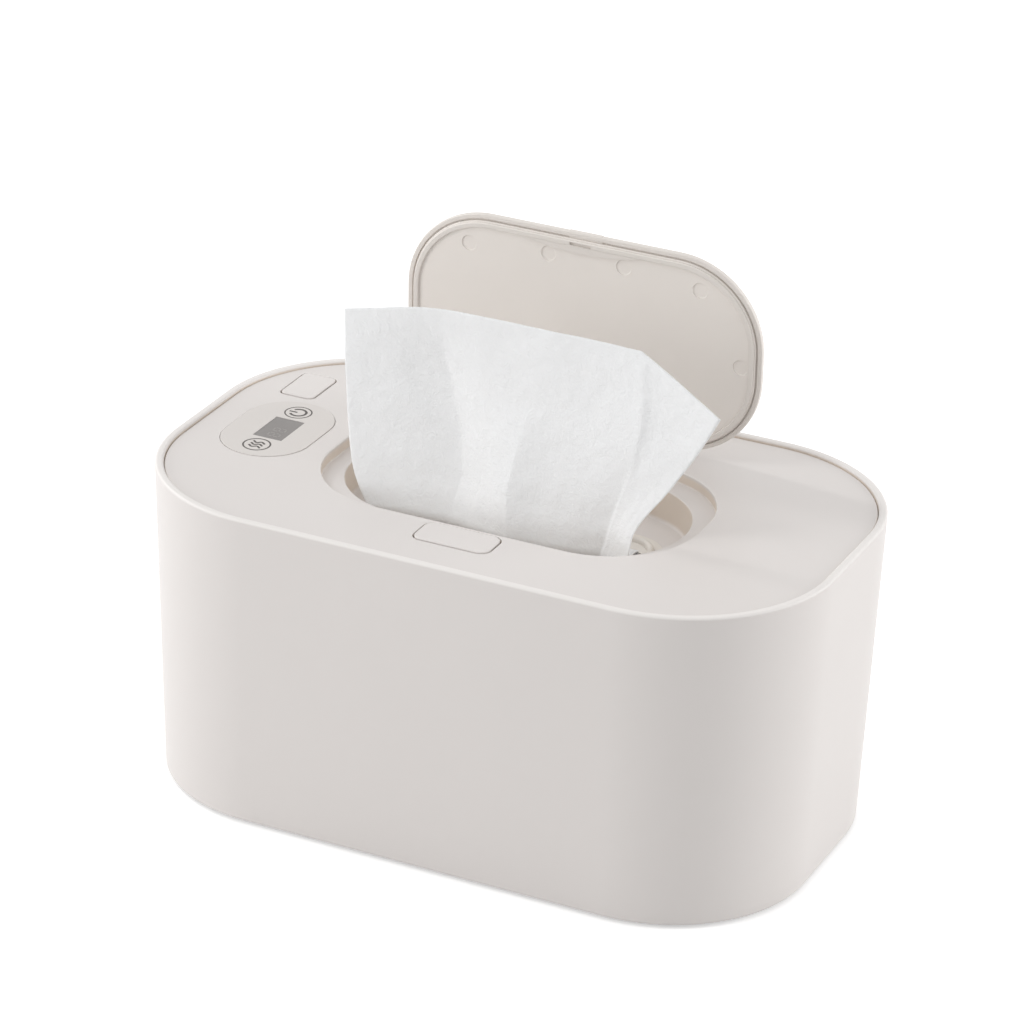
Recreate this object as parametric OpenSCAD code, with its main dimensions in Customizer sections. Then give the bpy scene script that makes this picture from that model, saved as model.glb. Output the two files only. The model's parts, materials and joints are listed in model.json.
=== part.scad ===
// Baby wipe warmer: an oval tub with an inset top cover that carries a flip lid, a touch panel,
// a release button for the lid, a release button for the cover, and the wipe that is up.
// Millimetres, +Z up, -Y is the front. The origin is on the table under the middle of the tub.
// The flip lid is drawn closed and then turned open, because the part rests with its lid open.

/* [Housing] */
// Length of the housing at its rim
body_l = 205; // [204:0.5:206]
// Width of the housing at its rim
body_w = 124; // [123:0.5:125]
// Height of the rim above the table
body_h = 97.5; // [97:0.5:99]
// Corner radius of the rim
corner_r = 46.2; // [45:0.2:47]
// How far each side draws in from the rim to the bottom
draft = 2.9; // [2:0.1:3.4]
// Wall thickness at the rim
wall = 2.3; // [2.2:0.1:2.5]
// How far the rubber feet stand proud of the bottom
foot_proud = 1; // [0.5:0.1:1.5]

/* [Top cover] */
// Gap between the rim and the cover
cover_gap = 0.4; // [0.3:0.05:0.5]
// How far the cover lies below the rim
cover_drop = 1; // [0.8:0.1:1.2]
// Thickness of the cover's skin
skin = 2; // [1.8:0.1:2.2]
// Length of the recess for the flip lid
recess_l = 114.4; // [113.6:0.2:115]
// Width of the recess for the flip lid
recess_w = 64; // [63.6:0.1:64.4]
// Depth of that recess
recess_depth = 3.5; // [3.4:0.1:3.7]
// Length of the well inside the recess
well_l = 103.4; // [102:0.2:104]
// Width of the well
well_w = 52.2; // [51:0.2:53]
// Depth of the well below the cover's top
well_depth = 13.5; // [13:0.1:13.8]
// Length of the dispensing slot
slot_l = 80; // [78:1:84]
// Width of the dispensing slot
slot_w = 14; // [13:0.5:16]

/* [Flip lid] */
// Length of the lid
lid_l = 112; // [111.4:0.1:112.4]
// Width of the lid
lid_w = 61.2; // [60.8:0.1:61.4]
// Corner radius of the lid
lid_r = 26.5; // [25:0.1:27.5]
// Angle by which the resting lid stands open
lid_open = 88; // [80:1:89]
// Radius of the lid's hinge knuckles
knuckle_r = 6.2; // [6.1:0.05:6.25]

/* [Controls] */
// Length of the lid's release button
lid_button_l = 23; // [20:0.5:25]
// Width of the lid's release button
lid_button_w = 11.5; // [11:0.1:12]
// Length of the cover's release button, along X
cover_button_l = 10.6; // [10:0.1:11]
// Width of the cover's release button
cover_button_w = 16.4; // [16:0.1:16.8]
// Length of the touch panel, from front to back
panel_l = 40; // [38:0.5:41]
// Width of the touch panel
panel_w = 27; // [25:0.5:28]

/* [Tank] */
// Outer length of the tank
tank_l = 174; // [172:0.5:175]
// Outer width of the tank
tank_w = 110; // [108:0.5:110]
// Outer corner radius of the tank
tank_r = 40; // [38:0.5:41]
// Height of the tank's rim above the table
tank_top = 83.4; // [83:0.1:83.5]

/* [Wipe] */
// Height of the wipe's upper edge above the table
wipe_top = 147.5; // [140:0.5:150]
// Height of the wipe's tail in the tank
wipe_tail = 52; // [40:1:60]
// Thickness of the wipe's solid
wipe_t = 0.8; // [0.6:0.1:1]

/* [Hidden] */
$fn = 96;

hull_fn = 64;       // facets of the drafted walls
sliver = 0.01;      // thickness of the slabs that a drafted hull spans
tiny = 0.05;        // gap between pieces that lie on each other

// Levels
bottom_z = foot_proud;
cover_z = body_h - cover_drop;
skin_z = cover_z - skin;
ledge_z = cover_z - recess_depth;
floor_z = cover_z - well_depth;
liner_z = 85;
liner_t = 1.4;
tank_floor = 14;
tank_t = 1.6;
flange_t = 1.6;
base_t = 2;

// Outlines
cover_l = body_l - 2*(wall + cover_gap);
cover_w = body_w - 2*(wall + cover_gap);
cover_r = corner_r - wall - cover_gap;
recess_r = 28;
well_r = well_w/2 - 0.1;
ledge_t = 2;
recess_wall = 1;
well_wall = 1.8;
opening = [0.3, -1.5];
liner_inset = 2.2;
liner_end = 87.5;   // where the liner stops short of the cover's contacts
upper_wall_z = 84;  // above this the housing's inside is straight

// Contacts and clips at the right end, between the housing's shelf and the cover
shelf_z = 80;
socket_top = 87;
contact_x = 93.8;
contact_y = [-6, -2, 2, 6];
clip_y = 14;

// Hinge of the flip lid, along X behind the recess
lid_axis = [36.6, cover_z - knuckle_r];
knuckle_x = 25;
knuckle_w = 9;
lid_pin_r = 1.2;
running = 0.05;     // radial clearance of a pin that turns
lid_rim_t = 2.3;
lid_skin = 1.6;
panel_face = 2.7;   // from the lid's top to the face of its inner panel
seal_t = 0.7;

// Controls
lid_button_at = [0.4, -40.6];
cover_button_at = [-83.9, 31.2];
cover_button_r = 1.8;
button_proud = 0.4;
button_gap = 0.3;
panel_at = [-77.3, -0.4];
display_at = [-76.9, -0.5];
display_size = [9.3, 14.6];
power_key_y = 12.3;
heat_key_y = -13.2;
board_z = 89;

// The latch of the cover lies on a line from the corner's centre through its button
corner_at = [-(cover_l/2 - cover_r), cover_w/2 - cover_r];
latch_angle = atan2(cover_button_at[1] - corner_at[1], cover_button_at[0] - corner_at[0]);

// Screws
tank_screw_at = [78, 46];
cover_screw_at = [[-66, -44], [-66, 44], [66, -44], [66, 44], [22, -49.4], [0, 49.5]];
base_screw_at = [74, 36];
screw_r = 1.4;

// Power inlet in the rear wall
inlet_at = [48, 8.5];
inlet_front = 56.8;
inlet_size = [12, 17, 10.4];

// Leads, as points chosen by hand
lead_r = 1.2;
lead_sides = 8;
heater_route = [[40.3, 4, 8.9], [46, 4, 9.8], [60, 4, 10.2], [74, 3, 10.2], [84, 1.6, 10.4],
    [89.2, 0.6, 12.2], [91.3, 0.1, 17], [91.4, 0, 25], [91.3, 0, 32], [90.6, 0, 36], [89.4, 0, 38.6]];
panel_route_lower = [[93.8, 9.2, 83], [93.8, 12, 83], [93.2, 18, 82.9], [92, 24, 82.2],
    [90.8, 29.5, 79.6], [90, 32.2, 75.6], [89.8, 33, 69], [89.8, 33.4, 55], [89.6, 33.4, 40],
    [89.2, 33.4, 26], [88, 33, 16], [84, 32, 11.4], [76, 30, 10], [60, 24, 9.8], [46, 20.4, 10.2],
    [38, 17, 10.1], [33.4, 15.6, 8.9]];
panel_route_upper = [[93.8, 9.2, 91.4], [93.7, 11.5, 91.3], [92.6, 14.6, 91], [90.6, 16.4, 90.8],
    [86.5, 17, 90.6], [82, 18, 90], [74, 26, 89.6], [64, 35.6, 89.4], [52, 42.2, 89.2],
    [40, 45.2, 89], [20, 45.4, 89], [0, 45.4, 89], [-20, 45.4, 89], [-40, 45, 89],
    [-54, 39.6, 89], [-63, 29, 89], [-66.4, 22.6, 89.4]];

// Rounded rectangle with true arcs
module outline(l, w, r) {
    square([l - 2*r, w], center = true);
    square([l, w - 2*r], center = true);
    for (sx = [-1, 1], sy = [-1, 1])
        translate([sx*(l/2 - r), sy*(w/2 - r)]) circle(r);
}

// The same as a slab from z0 to z1, grown by g all round
module slab(l, w, r, z0, z1, g = 0) {
    translate([0, 0, z0]) linear_extrude(z1 - z0) outline(l + 2*g, w + 2*g, r + g);
}

// A ring between two insets of one outline
module ring(l, w, r, z0, z1, outer, inner) {
    difference() {
        slab(l, w, r, z0, z1, outer);
        slab(l, w, r, z0 - 1, z1 + 1, inner);
    }
}

// How far the housing's outside lies inside its rim at a height
function drawn_in(z) = draft*(body_h - z)/(body_h - bottom_z);

// The housing's drafted form, inset by t, between two heights
module drafted(t, z0, z1) {
    hull() for (z = [z0, z1 - sliver])
        translate([0, 0, z]) linear_extrude(sliver)
            outline(body_l - 2*(t + drawn_in(z)), body_w - 2*(t + drawn_in(z)),
                corner_r - t - drawn_in(z), $fn = hull_fn);
}

// A profile drawn in (Y, Z) and extruded along X, centred on x
module along_x(x, w) {
    translate([x - w/2, 0, 0]) rotate([90, 0, 90]) linear_extrude(w) children();
}

// A profile drawn in (X, Z) and extruded along Y, centred on y
module along_y(y, w) {
    translate([0, y + w/2, 0]) rotate([90, 0, 0]) linear_extrude(w) children();
}

// Pan-head screw with its shank upwards from z
module screw_up(x, y, z, shank) {
    translate([x, y, z]) cylinder(r = screw_r, h = shank);
    translate([x, y, z - 1.2]) difference() {
        cylinder(r = 2.6, h = 1.2);
        translate([0, 0, -1]) cylinder(r = 1, h = 1.5, $fn = 6);
    }
}

// A round lead swept along a route: one unbroken tube
function unit(v) = v/norm(v);
function route_dir(p, i) = unit(p[min(i + 1, len(p) - 1)] - p[max(i - 1, 0)]);
function route_side(p, i) = unit(cross(route_dir(p, i), [0.31, 0.95, 0.08]));
function route_ring(p, i, r, n) = [
    for (k = [0:n - 1])
        let (a = 360*k/n, s = route_side(p, i), t = cross(route_dir(p, i), s))
            p[i] + r*(cos(a)*s + sin(a)*t)
];
module lead(route, r = lead_r, n = lead_sides) {
    m = len(route);
    polyhedron(
        points = [for (i = [0:m - 1]) each route_ring(route, i, r, n)],
        faces = concat(
            [[for (k = [0:n - 1]) k]],
            [for (i = [0:m - 2], k = [0:n - 1]) let (j = (k + 1) % n)
                [i*n + k, (i + 1)*n + k, (i + 1)*n + j]],
            [for (i = [0:m - 2], k = [0:n - 1]) let (j = (k + 1) % n)
                [i*n + k, (i + 1)*n + j, i*n + j]],
            [[for (k = [0:n - 1]) (m - 1)*n + n - 1 - k]]));
}

// Housing

module outer_shell() color("#d9d3cd") {
    difference() {
        drafted(0, bottom_z, body_h);
        drafted(wall, bottom_z - 1, upper_wall_z + sliver);
        slab(body_l - 2*wall, body_w - 2*wall, corner_r - wall, upper_wall_z, body_h + 1);
        // mouth of the power inlet
        translate([inlet_at[0], body_w/2 + 1, inlet_at[1]]) rotate([90, 0, 0])
            cylinder(r = 5, h = 8);
    }
    // shelf under the contact socket and the end clips
    translate([88, -18, 76]) cube([12.6, 36, shelf_z - 76]);
    // lugs that hold the tank's flange
    for (sx = [-1, 1], sy = [-1, 1]) difference() {
        union() {
            translate([sx*tank_screw_at[0], sy*tank_screw_at[1], 68]) cylinder(r = 3.2, h = 13.6);
            translate([sx*tank_screw_at[0], sy*tank_screw_at[1], 68])
                rotate([0, 0, atan2(sy*30.2, sx*21.7)]) translate([0, -1.2, 0]) cube([6.6, 2.4, 13.6]);
        }
        translate([sx*tank_screw_at[0], sy*tank_screw_at[1], 72]) cylinder(r = 1.1, h = 20);
    }
}

module base_plate() color("#cfc9c3") {
    inset = wall + drawn_in(bottom_z) + 0.35;
    l = body_l - 2*inset;
    w = body_w - 2*inset;
    r = corner_r - inset;
    difference() {
        union() {
            slab(l, w, r, bottom_z, bottom_z + base_t);
            ring(l, w, r, bottom_z + base_t, bottom_z + base_t + 3, -1.5, -3);
        }
        // seats of the feet
        for (sx = [-1, 1], sy = [-1, 1])
            translate([sx*58, sy*38, bottom_z - 1]) cylinder(r = 7.2, h = 2);
        // base screws
        for (sx = [-1, 1], sy = [-1, 1]) {
            translate([sx*base_screw_at[0], sy*base_screw_at[1], bottom_z - 1]) {
                cylinder(r = 1.7, h = 5);
                cylinder(r = 3.1, h = 2.2);
            }
        }
        // room for the inlet
        translate([inlet_at[0] - 7, inlet_front - 18, bottom_z + base_t]) cube([14, 22, 6]);
    }
    // posts of the main board
    for (x = [-14, 38], y = [-14, 18]) difference() {
        translate([x, y, bottom_z + base_t]) cylinder(r = 2.6, h = 2.9);
        translate([x, y, bottom_z + base_t]) cylinder(r = 0.9, h = 5);
    }
}

module rubber_feet() color("#5a5654") {
    for (sx = [-1, 1], sy = [-1, 1]) translate([sx*58, sy*38, 0]) difference() {
        cylinder(r = 7, h = bottom_z + 0.95);
        translate([0, 0, -1]) cylinder(r = 3, h = 1.5);
    }
}

module base_screws() color("#9a9a9c") {
    for (sx = [-1, 1], sy = [-1, 1])
        screw_up(sx*base_screw_at[0], sy*base_screw_at[1], bottom_z + 1.2, 9);
}

module wipe_tank() color("#e8e6e2") {
    difference() {
        union() {
            slab(tank_l, tank_w, tank_r, tank_floor, tank_top);
            // flange out to the housing, stopped short of the cover's contacts
            intersection() {
                slab(cover_l - 0.6, cover_w - 0.6, cover_r - 0.3, tank_top - flange_t, tank_top);
                translate([-110, -70, 0]) cube([110 + tank_l/2, 140, 100]);
            }
            // bosses of the base screws
            for (sx = [-1, 1], sy = [-1, 1])
                translate([sx*base_screw_at[0], sy*base_screw_at[1], bottom_z + base_t + tiny])
                    cylinder(r = 3, h = 12);
        }
        slab(tank_l - 2*tank_t, tank_w - 2*tank_t, tank_r - tank_t, tank_floor + tank_t, tank_top + 1);
        for (sx = [-1, 1], sy = [-1, 1]) {
            translate([sx*base_screw_at[0], sy*base_screw_at[1], 0])
                cylinder(r = screw_r + tiny, h = 12.4);
            translate([sx*tank_screw_at[0], sy*tank_screw_at[1], tank_top - 5])
                cylinder(r = 1.6, h = 10);
        }
        // notch for the hook that latches the cover
        translate([corner_at[0], corner_at[1], 70]) rotate([0, 0, latch_angle])
            translate([40.6, -4.5, 0]) cube([6, 9, 20]);
    }
}

module tank_screws() color("#9a9a9c") {
    for (sx = [-1, 1], sy = [-1, 1])
        translate([sx*tank_screw_at[0], sy*tank_screw_at[1], tank_top - 8]) {
            cylinder(r = 1.05, h = 8.1);
            translate([0, 0, 8.05]) cylinder(r = 2.4, h = 0.9);
        }
}

module heating_film() color("#b5762c") {
    ring(tank_l, tank_w, tank_r, 22, 60, 0.5, 0.1);
}

module insulation_sleeve() color("#f0efec") {
    difference() {
        ring(tank_l, tank_w, tank_r, 19, 64, 2, 0.7);
        // ways for the heater's leads and the two sensors
        translate([84, -2.2, 10]) cube([12, 4.4, 32]);
        translate([-94, -14, 30]) cube([10, 28, 12]);
    }
}

module thermistor() color("#2c2c2c") {
    translate([-tank_l/2 - 1.9, -9, 36]) rotate([-90, 0, 0]) cylinder(r = 1.2, h = 6);
}

module thermal_fuse() color("#cfcfc8") {
    translate([-tank_l/2 - 2, 2, 36]) rotate([-90, 0, 0]) cylinder(r = 1.3, h = 9);
}

module main_board() color("#2f6b46") {
    z = bottom_z + base_t + 2.95;
    difference() {
        translate([-18, -18, z]) cube([60, 40, 1.2]);
        for (x = [-14, 38], y = [-14, 18]) translate([x, y, 0]) cylinder(r = 1.25, h = 20);
    }
    // transformer, capacitor, chip and the two sockets of the leads
    translate([-8, -12, z + 1.2]) cube([14, 12, 5.4]);
    translate([14, -8, z + 1.2]) cylinder(r = 3.1, h = 5);
    translate([20, 2, z + 1.2]) cube([7, 7, 1.2]);
    translate([26, 13, z + 1.2]) cube([7, 5, 3]);
    translate([35, 0.5, z + 1.2]) cube([5, 7, 3]);
}

module board_screws() color("#9a9a9c") {
    for (x = [-14, 38], y = [-14, 18]) translate([x, y, bottom_z + base_t + 0.6]) {
        cylinder(r = 0.85, h = 3.6);
        translate([0, 0, 3.6]) cylinder(r = 2.1, h = 1);
    }
}

module power_inlet() color("#2a2a2c") {
    x = inlet_at[0];
    z = inlet_at[1];
    difference() {
        translate([x - inlet_size[0]/2, inlet_front - inlet_size[1], z - inlet_size[2]/2])
            cube(inlet_size);
        // pocket for the plug's sleeve, and the barrel behind it
        translate([x, inlet_front + 1, z]) rotate([90, 0, 0]) cylinder(r = 4.5, h = 4.4);
        translate([x, inlet_front, z]) rotate([90, 0, 0]) cylinder(r = 2.8, h = 13);
    }
}

module inlet_pin() color("#c9b26a") {
    translate([inlet_at[0], inlet_front - 4.4, inlet_at[1]]) rotate([90, 0, 0])
        cylinder(r = 1, h = 8.55);
}

module heater_leads() color("#b03a2e") lead(heater_route);

module panel_lead_lower() color("#e9e7e3") lead(panel_route_lower);

// Contacts of the lift-out cover, its clips at the right end and its latch at the left end

module contact_socket() color("#3a3a3c")
    translate([90, -9, shelf_z + tiny]) cube([7.6, 18, socket_top - shelf_z - tiny]);

module socket_pads() color("#c9b26a") {
    for (y = contact_y) translate([contact_x, y, socket_top + tiny]) cylinder(r = 1.2, h = 0.3);
}

module contact_block() color("#3a3a3c")
    translate([90, -9, 89.2]) cube([7.4, 18, skin_z - tiny - 89.2]);

module contact_pins() color("#c9b26a") {
    for (y = contact_y)
        translate([contact_x, y, socket_top + 0.4]) cylinder(r = 0.8, h = 89.2 - tiny - socket_top - 0.4);
}

module end_clips() color("#b8babd") {
    for (s = [-1, 1]) along_y(s*clip_y, 3) polygon([[95.4, shelf_z + tiny], [99.4, shelf_z + tiny],
        [99.4, 92], [98.6, 92], [97.7, 90.4], [97.7, 89.4], [98.6, 89.4], [98.6, 81.2], [95.4, 81.2]]);
}

module cover_latch_hook() color("#e4e0da") {
    translate([corner_at[0], corner_at[1], 0]) rotate([0, 0, latch_angle]) {
        translate([41.7, -3, 66]) cube([1, 6, 25.2]);
        translate([40, -3, 89.2]) cube([2.8, 6, 2]);
    }
}

// Top cover

module cover_plate_outline(z0, z1, g = 0) slab(cover_l, cover_w, cover_r, z0, z1, g);

module opening_slab(l, w, r, z0, z1, g = 0)
    translate([opening[0], opening[1], 0]) slab(l, w, r, z0, z1, g);

module top_cover() color("#dcd6d0") difference() {
    union() {
        cover_plate_outline(skin_z, cover_z - 0.4);
        cover_plate_outline(cover_z - 1, cover_z, -0.4);
        // tray of the recess, then the well
        opening_slab(recess_l, recess_w, recess_r, ledge_z - ledge_t, skin_z + 1, recess_wall);
        opening_slab(well_l, well_w, well_r, floor_z - well_wall, ledge_z - 1, well_wall);
        // ears of the flip lid's hinge pin
        for (s = [-1, 1], e = [-1, 1])
            translate([s*knuckle_x + e*6.2 - 1.1, lid_axis[0] - 3, 87.4])
                cube([2.2, 6, skin_z - 86.4]);
        // two tabs with a bead each, which the end clips hold down
        for (s = [-1, 1]) along_y(s*clip_y, 4) polygon([[96.2, 87.5], [97.4, 87.5], [98.2, 88.3],
            [98.2, 89], [97.4, 89], [97.4, skin_z + 1], [96.2, skin_z + 1]]);
        // bosses of the cover screws
        for (p = cover_screw_at)
            translate([p[0], p[1], liner_z + liner_t + tiny]) cylinder(r = 2.6, h = 9);
        // posts that carry the control board
        for (x = [-86, -68], y = [-19, 19])
            translate([x, y, board_z + 1.3]) cylinder(r = 1.5, h = skin_z - board_z - 0.3);
    }
    opening_slab(recess_l, recess_w, recess_r, ledge_z, cover_z + 1);
    opening_slab(well_l, well_w, well_r, floor_z, cover_z);
    opening_slab(slot_l + 10, slot_w + 10, slot_w/2 + 4.9, floor_z - 5, floor_z + 1);
    // notches for the lid's knuckles, and the bore of their pin
    for (s = [-1, 1]) translate([s*knuckle_x - 4.8, 30.1, 84]) cube([9.6, 13.1, 14]);
    along_x(0, 80) translate(lid_axis) circle(lid_pin_r + 0.02);
    // window for the hook that latches the lid
    translate([-4.4, -31.1, ledge_z - 3]) cube([7.8, 3.9, 4]);
    // buttons
    translate([lid_button_at[0], lid_button_at[1], 0])
        slab(lid_button_l, lid_button_w, 3, 80, 100, button_gap);
    translate([cover_button_at[0], cover_button_at[1], 0])
        slab(cover_button_l, cover_button_w, cover_button_r, 80, 100, button_gap);
    // seat of the touch panel and the window of the display
    translate([panel_at[0], panel_at[1], 0])
        slab(panel_w, panel_l, panel_w/2 - 0.1, cover_z - 0.8, cover_z + 1, 0.15);
    translate([display_at[0], display_at[1], 80]) linear_extrude(20)
        square(display_size + [0.2, 0.2], center = true);
    // cover screws
    for (p = cover_screw_at) translate([p[0], p[1], 80]) cylinder(r = 1.1, h = 14);
}

module cover_liner() color("#e3dfda") difference() {
    intersection() {
        union() {
            cover_plate_outline(liner_z, liner_z + liner_t, -liner_inset);
            ring(cover_l, cover_w, cover_r, liner_z, skin_z - tiny, -liner_inset, -liner_inset - 1.4);
            translate([liner_end - 1.4, -54, liner_z]) cube([5, 108, skin_z - tiny - liner_z]);
        }
        cover_plate_outline(liner_z - 1, skin_z, -liner_inset);
        translate([-110, -70, 0]) cube([110 + liner_end, 140, 100]);
    }
    opening_slab(well_l, well_w, well_r, 80, 92, well_wall + 0.4);
    for (p = cover_screw_at) translate([p[0], p[1], 80]) cylinder(r = 1.6, h = 7);
    // hole for the panel's lead
    translate([80, 17, 90.8]) rotate([0, 90, 0]) cylinder(r = 2.1, h = 12);
    // window for the latch hook
    translate([corner_at[0], corner_at[1], 88.6]) rotate([0, 0, latch_angle])
        translate([38, -3.8, 0]) cube([6, 7.6, 5]);
}

module cover_screws() color("#9a9a9c") {
    for (p = cover_screw_at) translate([p[0], p[1], liner_z - 0.65]) {
        cylinder(r = 2.3, h = 0.6);
        translate([0, 0, 0.5]) cylinder(r = 1.05, h = 6.6);
    }
}

module cover_gasket() color("#f4f3f0") {
    ring(tank_l, tank_w, tank_r, tank_top + 0.2, liner_z - tiny, 0.3, -2.6);
}

module slot_plate() color("#efece8") translate([opening[0], opening[1], 0]) difference() {
    union() {
        slab(slot_l + 14, slot_w + 14, slot_w/2 + 6.9, floor_z - 3.2, floor_z - well_wall - tiny);
        slab(slot_l + 9.6, slot_w + 9.6, slot_w/2 + 4.7, floor_z - 3.2, floor_z + 0.8);
        slab(slot_l + 4, slot_w + 4, slot_w/2 + 1.9, floor_z, floor_z + 2.2);
    }
    slab(slot_l, slot_w, slot_w/2 - 0.1, floor_z - 5, floor_z + 5);
}

// Touch panel

module control_panel() color("#d8d2cc") difference() {
    translate([panel_at[0], panel_at[1], 0])
        slab(panel_w, panel_l, panel_w/2 - 0.1, cover_z - 0.75, cover_z + 0.15);
    translate([display_at[0], display_at[1], 90]) linear_extrude(10)
        square(display_size, center = true);
}

module display_window() color("#8f8b88") {
    translate([display_at[0], display_at[1], cover_z - 0.75]) linear_extrude(0.85)
        square(display_size - [0.1, 0.1], center = true);
}

module display_module() color("#efefef") {
    translate([display_at[0], display_at[1], board_z + 1.25])
        linear_extrude(cover_z - 0.8 - board_z - 1.25) square(display_size - [0.6, 0.6], center = true);
}

module control_board() color("#2f6b46") difference() {
    translate([-88.2, -22, board_z]) cube([22.6, 44, 1.2]);
    translate([-91, 20.4, board_z - 1]) cube([16, 4, 4]);
}

module touch_springs() color("#c9b26a") {
    for (y = [power_key_y, heat_key_y]) translate([panel_at[0], y, board_z + 1.2 + tiny]) difference() {
        cylinder(r = 2.6, h = skin_z - board_z - 1.2 - 2*tiny);
        translate([0, 0, -1]) cylinder(r = 2, h = 9);
    }
}

module panel_lead_upper() color("#e9e7e3") lead(panel_route_upper);

// Release buttons with their springs and hooks

module lid_release_button() color("#dcd6d0") translate([lid_button_at[0], lid_button_at[1], 0]) {
    difference() {
        slab(lid_button_l, lid_button_w, 3, skin_z - 1.4, cover_z + button_proud);
        slab(lid_button_l - 3, lid_button_w - 3, 1.5, skin_z - 2, cover_z - 1.2);
    }
    // flange that keeps the button in, left out beside the recess
    difference() {
        translate([-lid_button_l/2 - 1.4, -lid_button_w/2 - 1.4, skin_z - 1.4])
            cube([lid_button_l + 2.8, lid_button_w + 0.6, 1.3]);
        slab(lid_button_l - 3, lid_button_w - 3, 1.5, skin_z - 2, cover_z);
    }
    translate([0, 0, skin_z - 3]) cylinder(r = 1.6, h = 5);
}

module lid_button_spring() color("#c4c6c8") {
    translate([lid_button_at[0], lid_button_at[1], liner_z + liner_t + tiny]) difference() {
        cylinder(r = 2.9, h = cover_z - 1.2 - liner_z - liner_t - 2*tiny);
        translate([0, 0, -1]) cylinder(r = 2.2, h = 20);
    }
}

module lid_latch_hook() color("#e4e0da") {
    translate([-3.2, -30.7, liner_z + liner_t + tiny]) cube([5.4, 1, 8]);
    translate([-3.2, -30.7, 93.2]) cube([5.4, 2.7, 0.9]);
    translate([-3.2, -34.4, liner_z + liner_t + tiny]) cube([5.4, 4.4, 1.2]);
}

module cover_release_button() color("#dcd6d0") translate([cover_button_at[0], cover_button_at[1], 0]) {
    difference() {
        union() {
            slab(cover_button_l, cover_button_w, cover_button_r, skin_z - 0.2, cover_z + button_proud);
            // skirt and flange, cut short of the liner's wall
            intersection() {
                slab(cover_button_l, cover_button_w, cover_button_r, skin_z - 1.4, skin_z + 1, 1.1);
                translate([corner_at[0] - cover_button_at[0], corner_at[1] - cover_button_at[1],
                    skin_z - 2]) cylinder(r = 39.4, h = 1.9);
            }
        }
        slab(cover_button_l - 3, cover_button_w - 3, 0.8, skin_z - 2, cover_z - 1.2);
    }
    translate([0, 0, skin_z - 3]) cylinder(r = 1.6, h = 5);
    // wedge that pushes the latch hook outwards
    rotate([0, 0, latch_angle]) along_y(0, 5.2)
        polygon([[3.5, 94.2], [6.4, 94.2], [6.4, 93.4], [9.6, 93.4], [9.6, 92.7], [7.2, 90.3], [3.5, 90.3]]);
}

module cover_button_spring() color("#c4c6c8") {
    translate([cover_button_at[0], cover_button_at[1], liner_z + liner_t + tiny]) difference() {
        cylinder(r = 2.9, h = cover_z - 1.2 - liner_z - liner_t - 2*tiny);
        translate([0, 0, -1]) cylinder(r = 2.2, h = 20);
    }
}

// Flip lid, drawn closed and turned open about its pin

module opened() {
    translate([0, lid_axis[0], lid_axis[1]]) rotate([-lid_open, 0, 0])
        translate([0, -lid_axis[0], -lid_axis[1]]) children();
}

function knuckle_edge(a) = 9*[-sin(a), cos(a)];

module flip_lid() color("#ddd5cd") opened() {
    opening_slab(lid_l, lid_w, lid_r, cover_z - lid_skin, cover_z - 0.5);
    opening_slab(lid_l, lid_w, lid_r, cover_z - 1, cover_z, -0.5);
    difference() {
        opening_slab(lid_l, lid_w, lid_r, cover_z - lid_rim_t, cover_z - 1);
        opening_slab(lid_l, lid_w, lid_r, cover_z - 5, cover_z - lid_skin, -1.4);
    }
    // two knuckles on bridges behind the rear edge
    for (s = [-1, 1]) difference() {
        union() {
            along_x(s*knuckle_x, knuckle_w) translate(lid_axis) {
                circle(2.8);
                intersection() {
                    circle(knuckle_r);
                    polygon(concat([[0, 0]], [for (a = [-38:41:126]) knuckle_edge(a)]));
                }
            }
            translate([s*knuckle_x - knuckle_w/2, 28.4, cover_z - lid_rim_t])
                cube([knuckle_w, 4.4, lid_rim_t - 0.3]);
        }
        along_x(s*knuckle_x, 20) translate(lid_axis) circle(lid_pin_r + running);
    }
}

module lid_inner_panel() color("#d6ccc3") opened() {
    difference() {
        union() {
            opening_slab(lid_l, lid_w, lid_r, cover_z - panel_face, cover_z - lid_skin - tiny, -1.9);
            // lens-shaped stiffener below the latch slot
            intersection() {
                opening_slab(lid_l, lid_w, lid_r, cover_z - panel_face - 0.35, cover_z - panel_face + 0.1,
                    -4.1);
                translate([0, -107.4, 80]) cylinder(r = 81, h = 20, $fn = 240);
            }
        }
        translate([-3.8, -29, cover_z - 6]) cube([6.6, 2, 4.2]);
    }
}

module lid_seal() color("#e9e4de") opened() {
    translate([0, 0, cover_z - panel_face - seal_t - tiny])
        difference() {
            opening_slab(lid_l, lid_w, lid_r, 0, seal_t, -2.2);
            opening_slab(lid_l, lid_w, lid_r, -1, seal_t + 1, -3.9);
        }
}

module flip_hinge_pin() color("#c4c6c8") {
    along_x(0, 2*knuckle_x + 16) translate(lid_axis) circle(lid_pin_r);
}

module flip_lid_spring() color("#c4c6c8") {
    along_x(0, 16) translate(lid_axis) difference() {
        circle(2.4);
        circle(lid_pin_r + 0.3);
    }
    // one leg under the cover's skin, the other in front of the ear and on to the knuckle
    translate([6.5, lid_axis[0] + 1.9, lid_axis[1] + 0.2]) cylinder(r = 0.4, h = 3.9);
    translate([-7, lid_axis[0] - 4.6, lid_axis[1]]) rotate([-90, 0, 0]) cylinder(r = 0.45, h = 3);
    translate([-21.5, lid_axis[0] - 4, lid_axis[1]]) rotate([0, 90, 0]) cylinder(r = 0.4, h = 14.5);
}

// Wipe: one sheet from its tail in the tank, up through the slot, forward over the slot's lip and up.
// Each row of the net holds points at the left edge, in the first valley, on the ridge, on the
// crease and at the right edge. The last value of a row says how far up the sheet it lies.

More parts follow.
